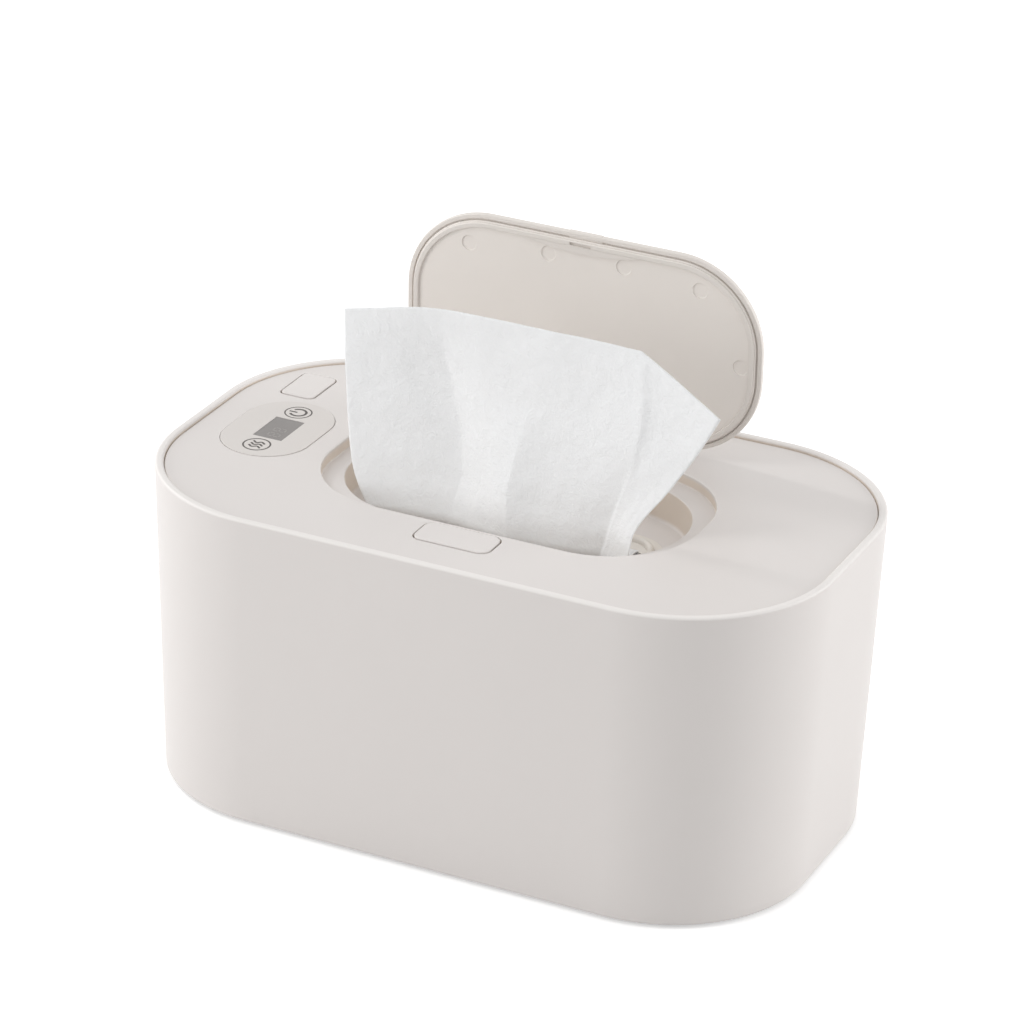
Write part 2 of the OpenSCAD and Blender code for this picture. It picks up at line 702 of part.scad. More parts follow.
crease = 0.82;
slot_z = 85;
net_u = [0, 0.27, 0.55, crease];
net = [
    [[[-38.8, -2.3, slot_z], [-16.1, -1.6, slot_z], [7.3, -2.5, slot_z], [30, -1.6, slot_z],
        [38.4, -2.3, slot_z]], 0],
    [[[-38.4, -8, 86.8], [-15.5, -7.5, 86.8], [7.3, -8.2, 86.8], [31, -7.6, 86.8], [39.6, -8, 86.8]], 0.07],
    [[[-37.6, -16.6, 87], [-14.6, -14.6, 86.9], [7.4, -16.6, 86.9], [32.8, -15, 86.9],
        [41.8, -15.4, 87.1]], 0.15],
    [[[-38.5, -19.6, 90], [-14.2, -16.6, 90.6], [7.4, -19.4, 90.6], [34, -17.4, 90.6], [43, -17, 91]], 0.2],
    [[[-43.9, -17, 97.6], [-13.4, -12.4, 101], [5.6, -16.4, 101], [36.4, -16.4, 102],
        [44.4, -15.2, 100]], 0.32],
    [[[-48.3, -12.4, 109.6], [-16.4, -8.4, 112], [5.9, -12, 112], [40, -13, 116], [51.6, -13.8, 111]], 0.48],
    [[[-51.4, -8.8, 125.4], [-22, -4.6, 127], [7.4, -7.8, 127], [41, -8.4, 132], [59.4, -12.4, 124]], 0.7],
    [[[-53.3, -6, wipe_top - 6.2], [-25.4, -4.2, wipe_top - 1.1], [8.9, -5.2, wipe_top],
        [38.2, -5.2, wipe_top], [65, -12, wipe_top - 12.5]], 1]];

function mix(a, b, t) = a + (b - a)*t;
// Smooth curve through the values p at the places t
function slope(t, p, i) = let (a = max(0, i - 1), b = min(len(t) - 1, i + 1)) (p[b] - p[a])/(t[b] - t[a]);
function span_of(t, x) = max([for (i = [0:len(t) - 2]) if (i == 0 || x >= t[i]) i]);
function curve(t, p, x) = let (i = span_of(t, x), w = t[i + 1] - t[i], s = (x - t[i])/w)
    (2*s*s*s - 3*s*s + 1)*p[i] + (s*s*s - 2*s*s + s)*w*slope(t, p, i)
    + (3*s*s - 2*s*s*s)*p[i + 1] + (s*s*s - s*s)*w*slope(t, p, i + 1);
net_h = [for (row = net) row[1]];
function column(c, h) = curve(net_h, [for (row = net) row[0][c]], h);
// The tail hangs below the slot: h runs from -1 at its end to 0 in the slot
function wipe_mid(u, h) = let (g = max(0, h), drop = min(0, h)*(slot_z - wipe_tail))
    (u < crease ? curve(net_u, [for (c = [0:3]) column(c, g)], u)
        : mix(column(3, g), column(4, g), (u - crease)/(1 - crease)))
    + [0, 0, drop];

wipe_cols = 32;
wipe_levels = [-1, -0.66, -0.33, -0.12, 0, 0.035, 0.07, 0.11, 0.15, 0.175, 0.2, 0.25, 0.32, 0.4, 0.48,
    0.59, 0.7, 0.85, 1];
wipe_rows = len(wipe_levels) - 1;
// The four corners of the grid's cells, offset to the front or the back face
function wipe_points(side) = [for (h = wipe_levels, i = [0:wipe_cols])
    let (u = i/wipe_cols, e = 0.004,
        du = wipe_mid(min(1, u + e), h) - wipe_mid(max(0, u - e), h),
        dv = wipe_mid(u, min(1, h + e)) - wipe_mid(u, max(-1, h - e)))
            wipe_mid(u, h) + side*wipe_t/2*unit(cross(du, dv))];

module wipe() color("#f2f4f6") {
    n = wipe_cols + 1;
    m = wipe_rows + 1;
    b = n*m;
    polyhedron(
        points = concat(wipe_points(1), wipe_points(-1)),
        faces = concat(
            [for (j = [0:wipe_rows - 1], i = [0:wipe_cols - 1]) let (a = j*n + i) [a, a + n, a + n + 1]],
            [for (j = [0:wipe_rows - 1], i = [0:wipe_cols - 1]) let (a = j*n + i) [a, a + n + 1, a + 1]],
            [for (j = [0:wipe_rows - 1], i = [0:wipe_cols - 1]) let (a = b + j*n + i) [a, a + n + 1, a + n]],
            [for (j = [0:wipe_rows - 1], i = [0:wipe_cols - 1]) let (a = b + j*n + i) [a, a + 1, a + n + 1]],
            [for (i = [0:wipe_cols - 1]) [i, i + 1, b + i + 1]],
            [for (i = [0:wipe_cols - 1]) [i, b + i + 1, b + i]],
            [for (i = [0:wipe_cols - 1]) let (a = (m - 1)*n + i) [a, b + a, b + a + 1]],
            [for (i = [0:wipe_cols - 1]) let (a = (m - 1)*n + i) [a, b + a + 1, a + 1]],
            [for (j = [0:wipe_rows - 1]) let (a = j*n) [a, b + a, b + a + n]],
            [for (j = [0:wipe_rows - 1]) let (a = j*n) [a, b + a + n, a + n]],
            [for (j = [0:wipe_rows - 1]) let (a = j*n + n - 1) [a, a + n, b + a + n]],
            [for (j = [0:wipe_rows - 1]) let (a = j*n + n - 1) [a, b + a + n, b + a]]));
}

outer_shell();
base_plate();
rubber_feet();
base_screws();
wipe_tank();
tank_screws();
heating_film();
insulation_sleeve();
thermistor();
thermal_fuse();
main_board();
board_screws();
power_inlet();
inlet_pin();
heater_leads();
panel_lead_lower();
contact_socket();
socket_pads();
end_clips();
cover_latch_hook();
top_cover();
cover_liner();
cover_screws();
cover_gasket();
slot_plate();
control_panel();
display_window();
display_module();
control_board();
touch_springs();
contact_block();
contact_pins();
panel_lead_upper();
flip_hinge_pin();
flip_lid_spring();
lid_latch_hook();
lid_button_spring();
cover_button_spring();
lid_release_button();
cover_release_button();
flip_lid();
lid_inner_panel();
lid_seal();
wipe();
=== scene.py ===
# %% [markdown]
# # A baby wipe warmer, built in cells
#
# The object is an oval tub of satin plastic. A top cover lies inside the tub's rim, a flip lid
# stands open behind the opening, and a damp wipe is up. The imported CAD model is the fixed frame:
# it says where everything is, and these cells give each visible piece its real surface.
# Lengths are written in millimetres, as on the drawing, and turned into metres by MM.

# %% Load the frame
import json
import math

import bmesh
import bpy
import numpy as np
from mathutils import Matrix, Vector, noise


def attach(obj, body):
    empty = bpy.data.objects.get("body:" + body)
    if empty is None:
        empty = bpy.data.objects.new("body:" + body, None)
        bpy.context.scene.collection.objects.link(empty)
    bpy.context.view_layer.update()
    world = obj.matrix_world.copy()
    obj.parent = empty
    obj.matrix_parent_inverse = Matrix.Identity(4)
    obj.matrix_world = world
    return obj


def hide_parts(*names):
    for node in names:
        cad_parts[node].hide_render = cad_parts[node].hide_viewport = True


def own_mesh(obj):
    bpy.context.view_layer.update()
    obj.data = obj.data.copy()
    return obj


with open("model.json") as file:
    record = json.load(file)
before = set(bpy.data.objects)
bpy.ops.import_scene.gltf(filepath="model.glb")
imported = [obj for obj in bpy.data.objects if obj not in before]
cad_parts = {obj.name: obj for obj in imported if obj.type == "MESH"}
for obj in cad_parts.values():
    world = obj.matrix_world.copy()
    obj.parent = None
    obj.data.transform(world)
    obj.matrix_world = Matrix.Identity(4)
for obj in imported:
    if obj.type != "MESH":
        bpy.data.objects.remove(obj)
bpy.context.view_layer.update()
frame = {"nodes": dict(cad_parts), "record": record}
MM = 0.001

# %% [markdown]
# ## Camera
#
# The camera was fitted to the tub's outline: its place, its three directions and its focal
# length in pixels of a 1024 x 1024 picture. A long lens far away keeps the tub's sides nearly
# parallel, as in a product photo. Writing the fitted directions as a matrix is more exact than
# aiming the camera at a point by hand.

# %% Place the camera
CAMERA_AT = Vector((477.307, -1040.351, 629.438)) * MM
CAMERA_RIGHT = Vector((0.901903, 0.430916, 0.029707))
CAMERA_UP = Vector((-0.208809, 0.374762, 0.903301))
CAMERA_FORWARD = Vector((-0.378114, 0.820893, -0.427978))
FOCAL_PIXELS = 4454.385
PICTURE_PIXELS = 1024

camera_data = bpy.data.cameras.new("camera")
camera_data.sensor_width = 36
camera_data.lens = camera_data.sensor_width * FOCAL_PIXELS / PICTURE_PIXELS
camera = bpy.data.objects.new("camera", camera_data)
bpy.context.scene.collection.objects.link(camera)
turn = Matrix((CAMERA_RIGHT, CAMERA_UP, -CAMERA_FORWARD)).transposed()
camera.matrix_world = Matrix.Translation(CAMERA_AT) @ turn.to_4x4()
bpy.context.scene.camera = camera
print("lens in mm:", round(camera_data.lens, 1))

# %% [markdown]
# ## Light and floor
#
# Soft boxes stand round the table and above it, as for a product photo. The small one at the
# left throws the lid's shadow across the cover. None of them is strong, so a colour renders
# about as it is written. A photographed room as the world would light the tub too, but boxes
# can be moved one by one until the shadows fall as in the photo. The floor and the world are white
# only to the camera and to reflections, through Light Path, and the floor still takes a shadow.

# %% Soft boxes
def soft_box(name, place, size, watts):
    """A rectangular lamp at place, in metres, that faces the middle of the tub."""
    data = bpy.data.lights.new(name, "AREA")
    data.shape = "RECTANGLE"
    data.size, data.size_y = size
    data.energy = watts
    lamp = bpy.data.objects.new(name, data)
    lamp.location = place
    aim = Vector((0, 0, 0.08)) - lamp.location
    lamp.rotation_euler = aim.to_track_quat("-Z", "Y").to_euler()
    bpy.context.scene.collection.objects.link(lamp)
    return lamp


soft_box("left_box", (-0.9, -0.6, 0.28), (0.5, 0.4), 3.2)
soft_box("flank_box", (-1.1, 0.22, 0.85), (0.13, 0.13), 2.8)
soft_box("right_box", (1.2, 0.75, 0.35), (0.6, 0.6), 6.6)
soft_box("side_box", (1.35, 0.15, 0.35), (0.5, 0.5), 1.3)
soft_box("top_box", (0.1, -0.1, 1.4), (0.7, 0.7), 1.8)
soft_box("key_box", (-0.5, -0.55, 1.1), (0.35, 0.35), 1.5)
print("lamps in watts:", {lamp.name: round(lamp.energy, 1) for lamp in bpy.data.lights})

# %% What the camera sees as white
def white_to_camera(tree):
    """1 for rays from the camera, a reflection or a transmission, and 0 for the rest."""
    path = tree.nodes.new("ShaderNodeLightPath")
    total = tree.nodes.new("ShaderNodeMath")
    total.operation = "MAXIMUM"
    tree.links.new(path.outputs["Is Camera Ray"], total.inputs[0])
    tree.links.new(path.outputs["Is Glossy Ray"], total.inputs[1])
    both = tree.nodes.new("ShaderNodeMath")
    both.operation = "MAXIMUM"
    tree.links.new(total.outputs[0], both.inputs[0])
    tree.links.new(path.outputs["Is Transmission Ray"], both.inputs[1])
    return both.outputs[0]

# %% World: even light on the object, white behind it
AMBIENT = 0.61
world = bpy.data.worlds.new("studio")
bpy.context.scene.world = world
world.use_nodes = True
tree = world.node_tree
tree.nodes.clear()
room = tree.nodes.new("ShaderNodeBackground")
room.inputs["Color"].default_value = (1, 1, 1, 1)
room.inputs["Strength"].default_value = AMBIENT
seen = tree.nodes.new("ShaderNodeBackground")
seen.inputs["Color"].default_value = (1, 1, 1, 1)
seen.inputs["Strength"].default_value = 1
blend = tree.nodes.new("ShaderNodeMixShader")
output = tree.nodes.new("ShaderNodeOutputWorld")
tree.links.new(white_to_camera(tree), blend.inputs["Fac"])
tree.links.new(room.outputs[0], blend.inputs[1])
tree.links.new(seen.outputs[0], blend.inputs[2])
tree.links.new(blend.outputs[0], output.inputs["Surface"])
print("world:", AMBIENT, "on the object, 1 for the camera")

# %% Floor: it takes a shadow, and a glow lifts it to white for the camera
FLOOR_LIFT = 0.42
floor_material = bpy.data.materials.new("pale_floor")
floor_material.use_nodes = True
tree = floor_material.node_tree
paint = tree.nodes["Principled BSDF"]
paint.inputs["Base Color"].default_value = (0.82, 0.82, 0.82, 1)
paint.inputs["Roughness"].default_value = 0.9
glow = tree.nodes.new("ShaderNodeEmission")
lift = tree.nodes.new("ShaderNodeMath")
lift.operation = "MULTIPLY"
lift.inputs[1].default_value = FLOOR_LIFT
tree.links.new(white_to_camera(tree), lift.inputs[0])
tree.links.new(lift.outputs[0], glow.inputs["Strength"])
add = tree.nodes.new("ShaderNodeAddShader")
tree.links.new(paint.outputs[0], add.inputs[0])
tree.links.new(glow.outputs[0], add.inputs[1])
tree.links.new(add.outputs[0], tree.nodes["Material Output"].inputs["Surface"])

FLOOR_HALF = 4
floor_mesh = bpy.data.meshes.new("floor")
floor_mesh.from_pydata([(sx * FLOOR_HALF, sy * FLOOR_HALF, 0)
                        for sx, sy in ((-1, -1), (1, -1), (1, 1), (-1, 1))], [], [(0, 1, 2, 3)])
floor = bpy.data.objects.new("floor", floor_mesh)
floor_mesh.materials.append(floor_material)
bpy.context.scene.collection.objects.link(floor)
bpy.context.scene.view_settings.view_transform = "Standard"
print("floor in m:", 2 * FLOOR_HALF, "square")

# %% [markdown]
# ## Shared effects
#
# Moulded plastic is never one flat colour: its tone drifts a little over a hand's width, and a
# fine spark grain breaks its gloss. Metal has drawn lines, and rubber has a dull bloom. Each
# effect that several finishes use is a node group, built once, with its values set where it is
# used. Pictures laid on the surface would do it too, but noise over the piece's own place has no
# seams and needs no file. The groups put out colours, masks, roughness values and normals only.

# %% Colours and node groups
def linear(red, green, blue):
    """A colour as it looks on a screen, 0 to 255, as the linear value that a shader takes."""
    out = []
    for value in (red, green, blue):
        value /= 255
        out.append(value / 12.92 if value <= 0.04045 else ((value + 0.055) / 1.055) ** 2.4)
    return (*out, 1)


def new_group(name, inputs, outputs):
    """A shader group. inputs and outputs are lists of (name, kind, default)."""
    group = bpy.data.node_groups.new(name, "ShaderNodeTree")
    for label, kind, default in inputs:
        socket = group.interface.new_socket(label, in_out="INPUT", socket_type="NodeSocket" + kind)
        socket.default_value = default
    for label, kind in outputs:
        group.interface.new_socket(label, in_out="OUTPUT", socket_type="NodeSocket" + kind)
    return group, group.nodes.new("NodeGroupInput"), group.nodes.new("NodeGroupOutput")

# %% Sums, noise and bumps as nodes
def maths(tree, operation, first, second):
    """A Math node. Each of first and second is a socket or a number."""
    node = tree.nodes.new("ShaderNodeMath")
    node.operation = operation
    for slot, value in zip(node.inputs, (first, second)):
        if isinstance(value, (int, float)):
            slot.default_value = value
        else:
            tree.links.new(value, slot)
    return node.outputs[0]


def object_noise(tree, scale, detail=2, distortion=0, stretch=(1, 1, 1)):
    """Noise over the piece's own place in metres. scale is a socket or a number, per metre."""
    place = tree.nodes.new("ShaderNodeTexCoord")
    mapping = tree.nodes.new("ShaderNodeMapping")
    mapping.inputs["Scale"].default_value = stretch
    tree.links.new(place.outputs["Object"], mapping.inputs["Vector"])
    texture = tree.nodes.new("ShaderNodeTexNoise")
    texture.inputs["Detail"].default_value = detail
    texture.inputs["Distortion"].default_value = distortion
    tree.links.new(mapping.outputs[0], texture.inputs["Vector"])
    if isinstance(scale, (int, float)):
        texture.inputs["Scale"].default_value = scale
    else:
        tree.links.new(scale, texture.inputs["Scale"])
    return texture.outputs["Fac"]


def bump(tree, height, distance):
    """A Bump node fed by a height of 0 to 1. distance is its full height in metres."""
    node = tree.nodes.new("ShaderNodeBump")
    tree.links.new(height, node.inputs["Height"])
    if isinstance(distance, (int, float)):
        node.inputs["Distance"].default_value = distance
    else:
        tree.links.new(distance, node.inputs["Distance"])
    return node.outputs["Normal"]

# %% Tone drift: a colour that wanders a little over the piece
drift, given, result = new_group(
    "tone_drift",
    [("Colour", "Color", (0.8, 0.8, 0.8, 1)), ("Amount", "Float", 0.02), ("Patch mm", "Float", 40)],
    [("Colour", "Color")])
patch = maths(drift, "DIVIDE", 1000.0, given.outputs["Patch mm"])
wander = maths(drift, "SUBTRACT", object_noise(drift, patch, detail=3), 0.5)
wander = maths(drift, "MULTIPLY", wander, maths(drift, "MULTIPLY", given.outputs["Amount"], 2.0))
scaled = drift.nodes.new("ShaderNodeVectorMath")
scaled.operation = "SCALE"
drift.links.new(given.outputs["Colour"], scaled.inputs[0])
drift.links.new(maths(drift, "ADD", wander, 1.0), scaled.inputs["Scale"])
drift.links.new(scaled.outputs[0], result.inputs["Colour"])

# %% Spark grain: the fine texture of a moulding tool
grain, given, result = new_group(
    "spark_grain",
    [("Grain mm", "Float", 0.5), ("Depth mm", "Float", 0.01), ("Roughness", "Float", 0.45),
     ("Spread", "Float", 0.08)],
    [("Roughness", "Float"), ("Normal", "Vector")])
fine = object_noise(grain, maths(grain, "DIVIDE", 1000.0, given.outputs["Grain mm"]), detail=3)
broad = object_noise(grain, 35, detail=2)
both = maths(grain, "SUBTRACT", maths(grain, "ADD", fine, broad), 1.0)
rough = maths(grain, "ADD", given.outputs["Roughness"],
              maths(grain, "MULTIPLY", both, given.outputs["Spread"]))
grain.links.new(rough, result.inputs["Roughness"])
depth = maths(grain, "MULTIPLY", given.outputs["Depth mm"], MM)
grain.links.new(bump(grain, fine, depth), result.inputs["Normal"])

# %% Drawn lines: the long fine scratches of wire and sheet metal
drawn, given, result = new_group(
    "drawn_lines",
    [("Line mm", "Float", 0.15), ("Depth mm", "Float", 0.004), ("Roughness", "Float", 0.3)],
    [("Roughness", "Float"), ("Normal", "Vector")])
lines = object_noise(drawn, maths(drawn, "DIVIDE", 1000.0, given.outputs["Line mm"]), detail=4,
                     stretch=(0.06, 1, 1))
rough = maths(drawn, "ADD", given.outputs["Roughness"],
              maths(drawn, "MULTIPLY", maths(drawn, "SUBTRACT", lines, 0.5), 0.25))
drawn.links.new(rough, result.inputs["Roughness"])
depth = maths(drawn, "MULTIPLY", given.outputs["Depth mm"], MM)
drawn.links.new(bump(drawn, lines, depth), result.inputs["Normal"])

# %% Height mask: 0 at one height of the piece and 1 at another
height, given, result = new_group(
    "height_mask", [("From mm", "Float", 0.0), ("To mm", "Float", 1.0)], [("Mask", "Float")])
place = height.nodes.new("ShaderNodeTexCoord")
apart = height.nodes.new("ShaderNodeSeparateXYZ")
height.links.new(place.outputs["Object"], apart.inputs[0])
ramp = height.nodes.new("ShaderNodeMapRange")
height.links.new(apart.outputs["Z"], ramp.inputs["Value"])
for end, label in (("From Min", "From mm"), ("From Max", "To mm")):
    height.links.new(maths(height, "MULTIPLY", given.outputs[label], MM), ramp.inputs[end])
height.links.new(ramp.outputs[0], result.inputs["Mask"])
print("groups:", sorted(g.name for g in bpy.data.node_groups))

# %% [markdown]
# ## Finishes
#
# Most of the object is one warm off-white plastic in several slightly different tones, as real
# mouldings of one colour come out. One material for all of them would be shorter, but the pieces
# would melt into each other. So one function makes every satin plastic from a colour and a few
# grain values, and the unusual finishes are built one by one after it.

# %% Helpers for finishes
finishes = {}


def use_group(tree, group, values):
    """Places a node group in a material's tree and sets its inputs."""
    node = tree.nodes.new("ShaderNodeGroup")
    node.node_tree = group
    for label, value in values.items():
        node.inputs[label].default_value = value
    return node


def start_finish(slot):
    """A new material under its slot's name, with its Principled shader."""
    material = bpy.data.materials.new(slot)
    material.use_nodes = True
    finishes[slot] = material
    return material.node_tree, material.node_tree.nodes["Principled BSDF"]


def dress(tree, shader, colour, skin):
    """Feeds a colour, and the roughness and normal of a grain or line group, to the shader."""
    tree.links.new(colour, shader.inputs["Base Color"])
    tree.links.new(skin.outputs["Roughness"], shader.inputs["Roughness"])
    tree.links.new(skin.outputs["Normal"], shader.inputs["Normal"])


def moulded(slot, colour, roughness, grain_mm=0.5, depth_mm=0.008, drift_share=0.012,
            patch_mm=45):
    """A moulded finish: tone drift in its colour, spark grain in its gloss and surface."""
    tree, shader = start_finish(slot)
    tone = use_group(tree, drift, {"Colour": linear(*colour), "Amount": drift_share,
                                   "Patch mm": patch_mm})
    skin = use_group(tree, grain, {"Grain mm": grain_mm, "Depth mm": depth_mm,
                                   "Roughness": roughness})
    dress(tree, shader, tone.outputs["Colour"], skin)
    return tree, shader


def tinted(tree, shader, mask, colour):
    """Turns a finish's colour towards another one where the mask is 1."""
    mix = tree.nodes.new("ShaderNodeMix")
    mix.data_type = "RGBA"
    tree.links.new(mask, mix.inputs["Factor"])
    tree.links.new(shader.inputs["Base Color"].links[0].from_socket, mix.inputs["A"])
    mix.inputs["B"].default_value = linear(*colour)
    tree.links.new(mix.outputs["Result"], shader.inputs["Base Color"])

# %% Plastic of the tub
# a lighter colour painted on rounded edges as a highlight
PAINTED_HIGHLIGHT = (237, 233, 230)
WARM = (226, 214, 201)
tree, shader = moulded("housing_plastic", (223, 218, 215), 0.42)
shader.inputs["Specular IOR Level"].default_value = 0.3
# painted highlight: the bead on the rim is made a little lighter, for the light line that it
# catches
bead = use_group(tree, height, {"From mm": 96.75, "To mm": 97.25})
tinted(tree, shader, bead.outputs["Mask"], PAINTED_HIGHLIGHT)
# light that bounces in the gap round the cover comes out warmer: there the wall faces inwards
place = tree.nodes.new("ShaderNodeTexCoord")
level = tree.nodes.new("ShaderNodeVectorMath")
level.operation = "MULTIPLY"
level.inputs[1].default_value = (1, 1, 0)
tree.links.new(place.outputs["Object"], level.inputs[0])
outwards = tree.nodes.new("ShaderNodeVectorMath")
outwards.operation = "DOT_PRODUCT"
tree.links.new(level.outputs[0], outwards.inputs[0])
tree.links.new(place.outputs["Normal"], outwards.inputs[1])
below = use_group(tree, height, {"From mm": 97.1, "To mm": 96.6})
above = use_group(tree, height, {"From mm": 95.4, "To mm": 96.0})
gap = maths(tree, "MULTIPLY", below.outputs["Mask"], above.outputs["Mask"])
inner = maths(tree, "LESS_THAN", outwards.outputs["Value"], 0)
tinted(tree, shader, maths(tree, "MULTIPLY", gap, inner), WARM)
print("nodes in the tub's plastic:", len(tree.nodes))

# %% Plastic of the top cover
tree, shader = moulded("cover_plastic", (224, 219, 216), 0.42)
place = tree.nodes.new("ShaderNodeTexCoord")
facing = tree.nodes.new("ShaderNodeSeparateXYZ")
tree.links.new(place.outputs["Normal"], facing.inputs[0])
steep = maths(tree, "SUBTRACT", 1.0, maths(tree, "ABSOLUTE", facing.outputs["Z"], 0))
# light that bounces between the walls of the recess and of the gaps comes out warmer
deep = use_group(tree, height, {"From mm": 96.3, "To mm": 95.2})
tinted(tree, shader, maths(tree, "MULTIPLY", deep.outputs["Mask"], steep), WARM)
# painted highlight: the rounded edges of the openings are made lighter, like the bead
edge = use_group(tree, height, {"From mm": 96.1, "To mm": 96.3})
sloped = maths(tree, "MINIMUM", maths(tree, "MULTIPLY", steep, 8.0), 1.0)
tinted(tree, shader, maths(tree, "MULTIPLY", edge.outputs["Mask"], sloped), PAINTED_HIGHLIGHT)
print("nodes in the cover's plastic:", len(tree.nodes))

# %% The other plastics and the rubber
moulded("button_plastic", (226, 221, 218), 0.4)
moulded("lid_plastic", (227, 221, 215), 0.42)
moulded("lid_inner_plastic", (236, 230, 224), 0.36, depth_mm=0.005, drift_share=0.02, patch_mm=30)
moulded("liner_plastic", (222, 217, 211), 0.45)
moulded("latch_plastic", (226, 222, 216), 0.45)
moulded("tank_plastic", (228, 225, 220), 0.35, depth_mm=0.004)
moulded("base_plastic", (212, 206, 200), 0.55, grain_mm=0.8, depth_mm=0.02)
moulded("black_plastic", (44, 44, 46), 0.45, drift_share=0.05)
moulded("foot_rubber", (88, 85, 82), 0.8, grain_mm=0.7, depth_mm=0.02, drift_share=0.06)
moulded("lead_red", (164, 42, 34), 0.5, drift_share=0.04, patch_mm=12)
moulded("lead_white", (228, 225, 219), 0.5, drift_share=0.03, patch_mm=12)
moulded("panel_film", (219, 214, 210), 0.5, grain_mm=0.35, depth_mm=0.006)
print("moulded finishes:", len(finishes))

# %% Soft plate, display and ink
tree, shader = moulded("silicone", (232, 227, 220), 0.5, grain_mm=0.9, depth_mm=0.01)
shader.inputs["Subsurface Weight"].default_value = 0.12
shader.inputs["Subsurface Radius"].default_value = (1, 0.9, 0.8)
shader.inputs["Subsurface Scale"].default_value = 1.5 * MM

tree, shader = moulded("display_grey", (124, 119, 116), 0.3, grain_mm=0.6, depth_mm=0.002,
                       drift_share=0.06, patch_mm=6)
shader.inputs["Coat Weight"].default_value = 0.3
shader.inputs["Coat Roughness"].default_value = 0.15
moulded("symbol_ink", (86, 81, 78), 0.55, grain_mm=0.3, depth_mm=0.003, drift_share=0.08,
        patch_mm=3)
moulded("faint_ink", (152, 148, 145), 0.5, grain_mm=0.3, depth_mm=0.002, drift_share=0.08,
        patch_mm=3)

# %% Metals
def metal(slot, colour, roughness, line_mm=0.15):
    """A metal finish: tone drift in its colour, drawn lines in its gloss and surface."""
    tree, shader = start_finish(slot)
    tone = use_group(tree, drift, {"Colour": linear(*colour), "Amount": 0.05, "Patch mm": 4})
    skin = use_group(tree, drawn, {"Line mm": line_mm, "Roughness": roughness})
    dress(tree, shader, tone.outputs["Colour"], skin)
    shader.inputs["Metallic"].default_value = 1


metal("screw_steel", (190, 190, 194), 0.34)
metal("pin_steel", (208, 210, 212), 0.26)
metal("contact_brass", (222, 200, 132), 0.24, line_mm=0.1)

# %% Circuit board: solder mask over faint copper tracks
tree, shader = start_finish("circuit_board")
place = tree.nodes.new("ShaderNodeTexCoord")
tracks = tree.nodes.new("ShaderNodeTexBrick")
tracks.inputs["Scale"].default_value = 160
tracks.inputs["Mortar Size"].default_value = 0.03
tracks.inputs["Color1"].default_value = linear(38, 104, 66)
tracks.inputs["Color2"].default_value = linear(33, 94, 60)
tracks.inputs["Mortar"].default_value = linear(66, 140, 92)
tree.links.new(place.outputs["Object"], tracks.inputs["Vector"])
skin = use_group(tree, grain, {"Grain mm": 0.4, "Depth mm": 0.004, "Roughness": 0.28})
tree.links.new(tracks.outputs["Color"], shader.inputs["Base Color"])
tree.links.new(skin.outputs["Roughness"], shader.inputs["Roughness"])
tree.links.new(bump(tree, tracks.outputs["Fac"], 0.02 * MM), shader.inputs["Normal"])

# %% Heating film: amber foil with a printed track in rows
tree, shader = start_finish("heating_film")
place = tree.nodes.new("ShaderNodeTexCoord")
rows = tree.nodes.new("ShaderNodeTexWave")
rows.bands_direction = "Z"
rows.inputs["Scale"].default_value = 38
rows.inputs["Distortion"].default_value = 0.4
tree.links.new(place.outputs["Object"], rows.inputs["Vector"])
edge = maths(tree, "GREATER_THAN", rows.outputs["Fac"], 0.62)
mix = tree.nodes.new("ShaderNodeMix")
mix.data_type = "RGBA"
mix.inputs["A"].default_value = linear(188, 126, 58)
mix.inputs["B"].default_value = linear(128, 96, 72)
tree.links.new(edge, mix.inputs["Factor"])
skin = use_group(tree, grain, {"Grain mm": 2, "Depth mm": 0.02, "Roughness": 0.25})
dress(tree, shader, mix.outputs["Result"], skin)

# %% Foam: closed cells
tree, shader = start_finish("foam")
place = tree.nodes.new("ShaderNodeTexCoord")
cells = tree.nodes.new("ShaderNodeTexVoronoi")
cells.inputs["Scale"].default_value = 900
tree.links.new(place.outputs["Object"], cells.inputs["Vector"])
tone = use_group(tree, drift, {"Colour": linear(238, 237, 232), "Amount": 0.03, "Patch mm": 8})
tree.links.new(tone.outputs["Colour"], shader.inputs["Base Color"])
tree.links.new(bump(tree, cells.outputs["Distance"], 0.25 * MM), shader.inputs["Normal"])
shader.inputs["Roughness"].default_value = 0.9

# %% Nonwoven cloth: matted fibres with a faint embossed net of points
tree, shader = start_finish("wipe_cloth")
fibres = object_noise(tree, 520, detail=6, distortion=1.8)
place = tree.nodes.new("ShaderNodeTexCoord")
points = tree.nodes.new("ShaderNodeTexVoronoi")
points.inputs["Scale"].default_value = 420
tree.links.new(place.outputs["Object"], points.inputs["Vector"])
matted = maths(tree, "ADD", fibres, maths(tree, "MULTIPLY", points.outputs["Distance"], 0.5))
tree.links.new(bump(tree, matted, 0.22 * MM), shader.inputs["Normal"])
tone = use_group(tree, drift, {"Colour": linear(241, 242, 243), "Amount": 0.01, "Patch mm": 3})
tree.links.new(tone.outputs["Colour"], shader.inputs["Base Color"])
shader.inputs["Roughness"].default_value = 0.85
shader.inputs["Sheen Weight"].default_value = 0.15
shader.inputs["Subsurface Weight"].default_value = 0.25
shader.inputs["Subsurface Radius"].default_value = (1, 1, 1)
shader.inputs["Subsurface Scale"].default_value = 0.6 * MM
print("finishes:", sorted(finishes))

# %% Give every CAD node its finish
for part in frame["record"]["subparts"]:
    mesh = frame["nodes"][part["node"]].data
    mesh.materials.clear()
    mesh.materials.append(finishes[part["material_slot"]])

# %% [markdown]
# ## Tools for mouldings
#
# Nearly every piece here is a profile carried round a rounded rectangle: the tub, the cover,
# the lid, the seal, the buttons. A profile is a list of (inset, height) points, and a fillet is
# an arc in it, so every edge has its true radius in the mesh. Openings are cut with tools made
# in the same way, whose upper edge flares out, which leaves a fillet round the opening. Bevel
# modifiers would also round edges, but they fail on the short edges that a cut leaves.

# %% Outlines and profiles
ARC_STEPS = 24


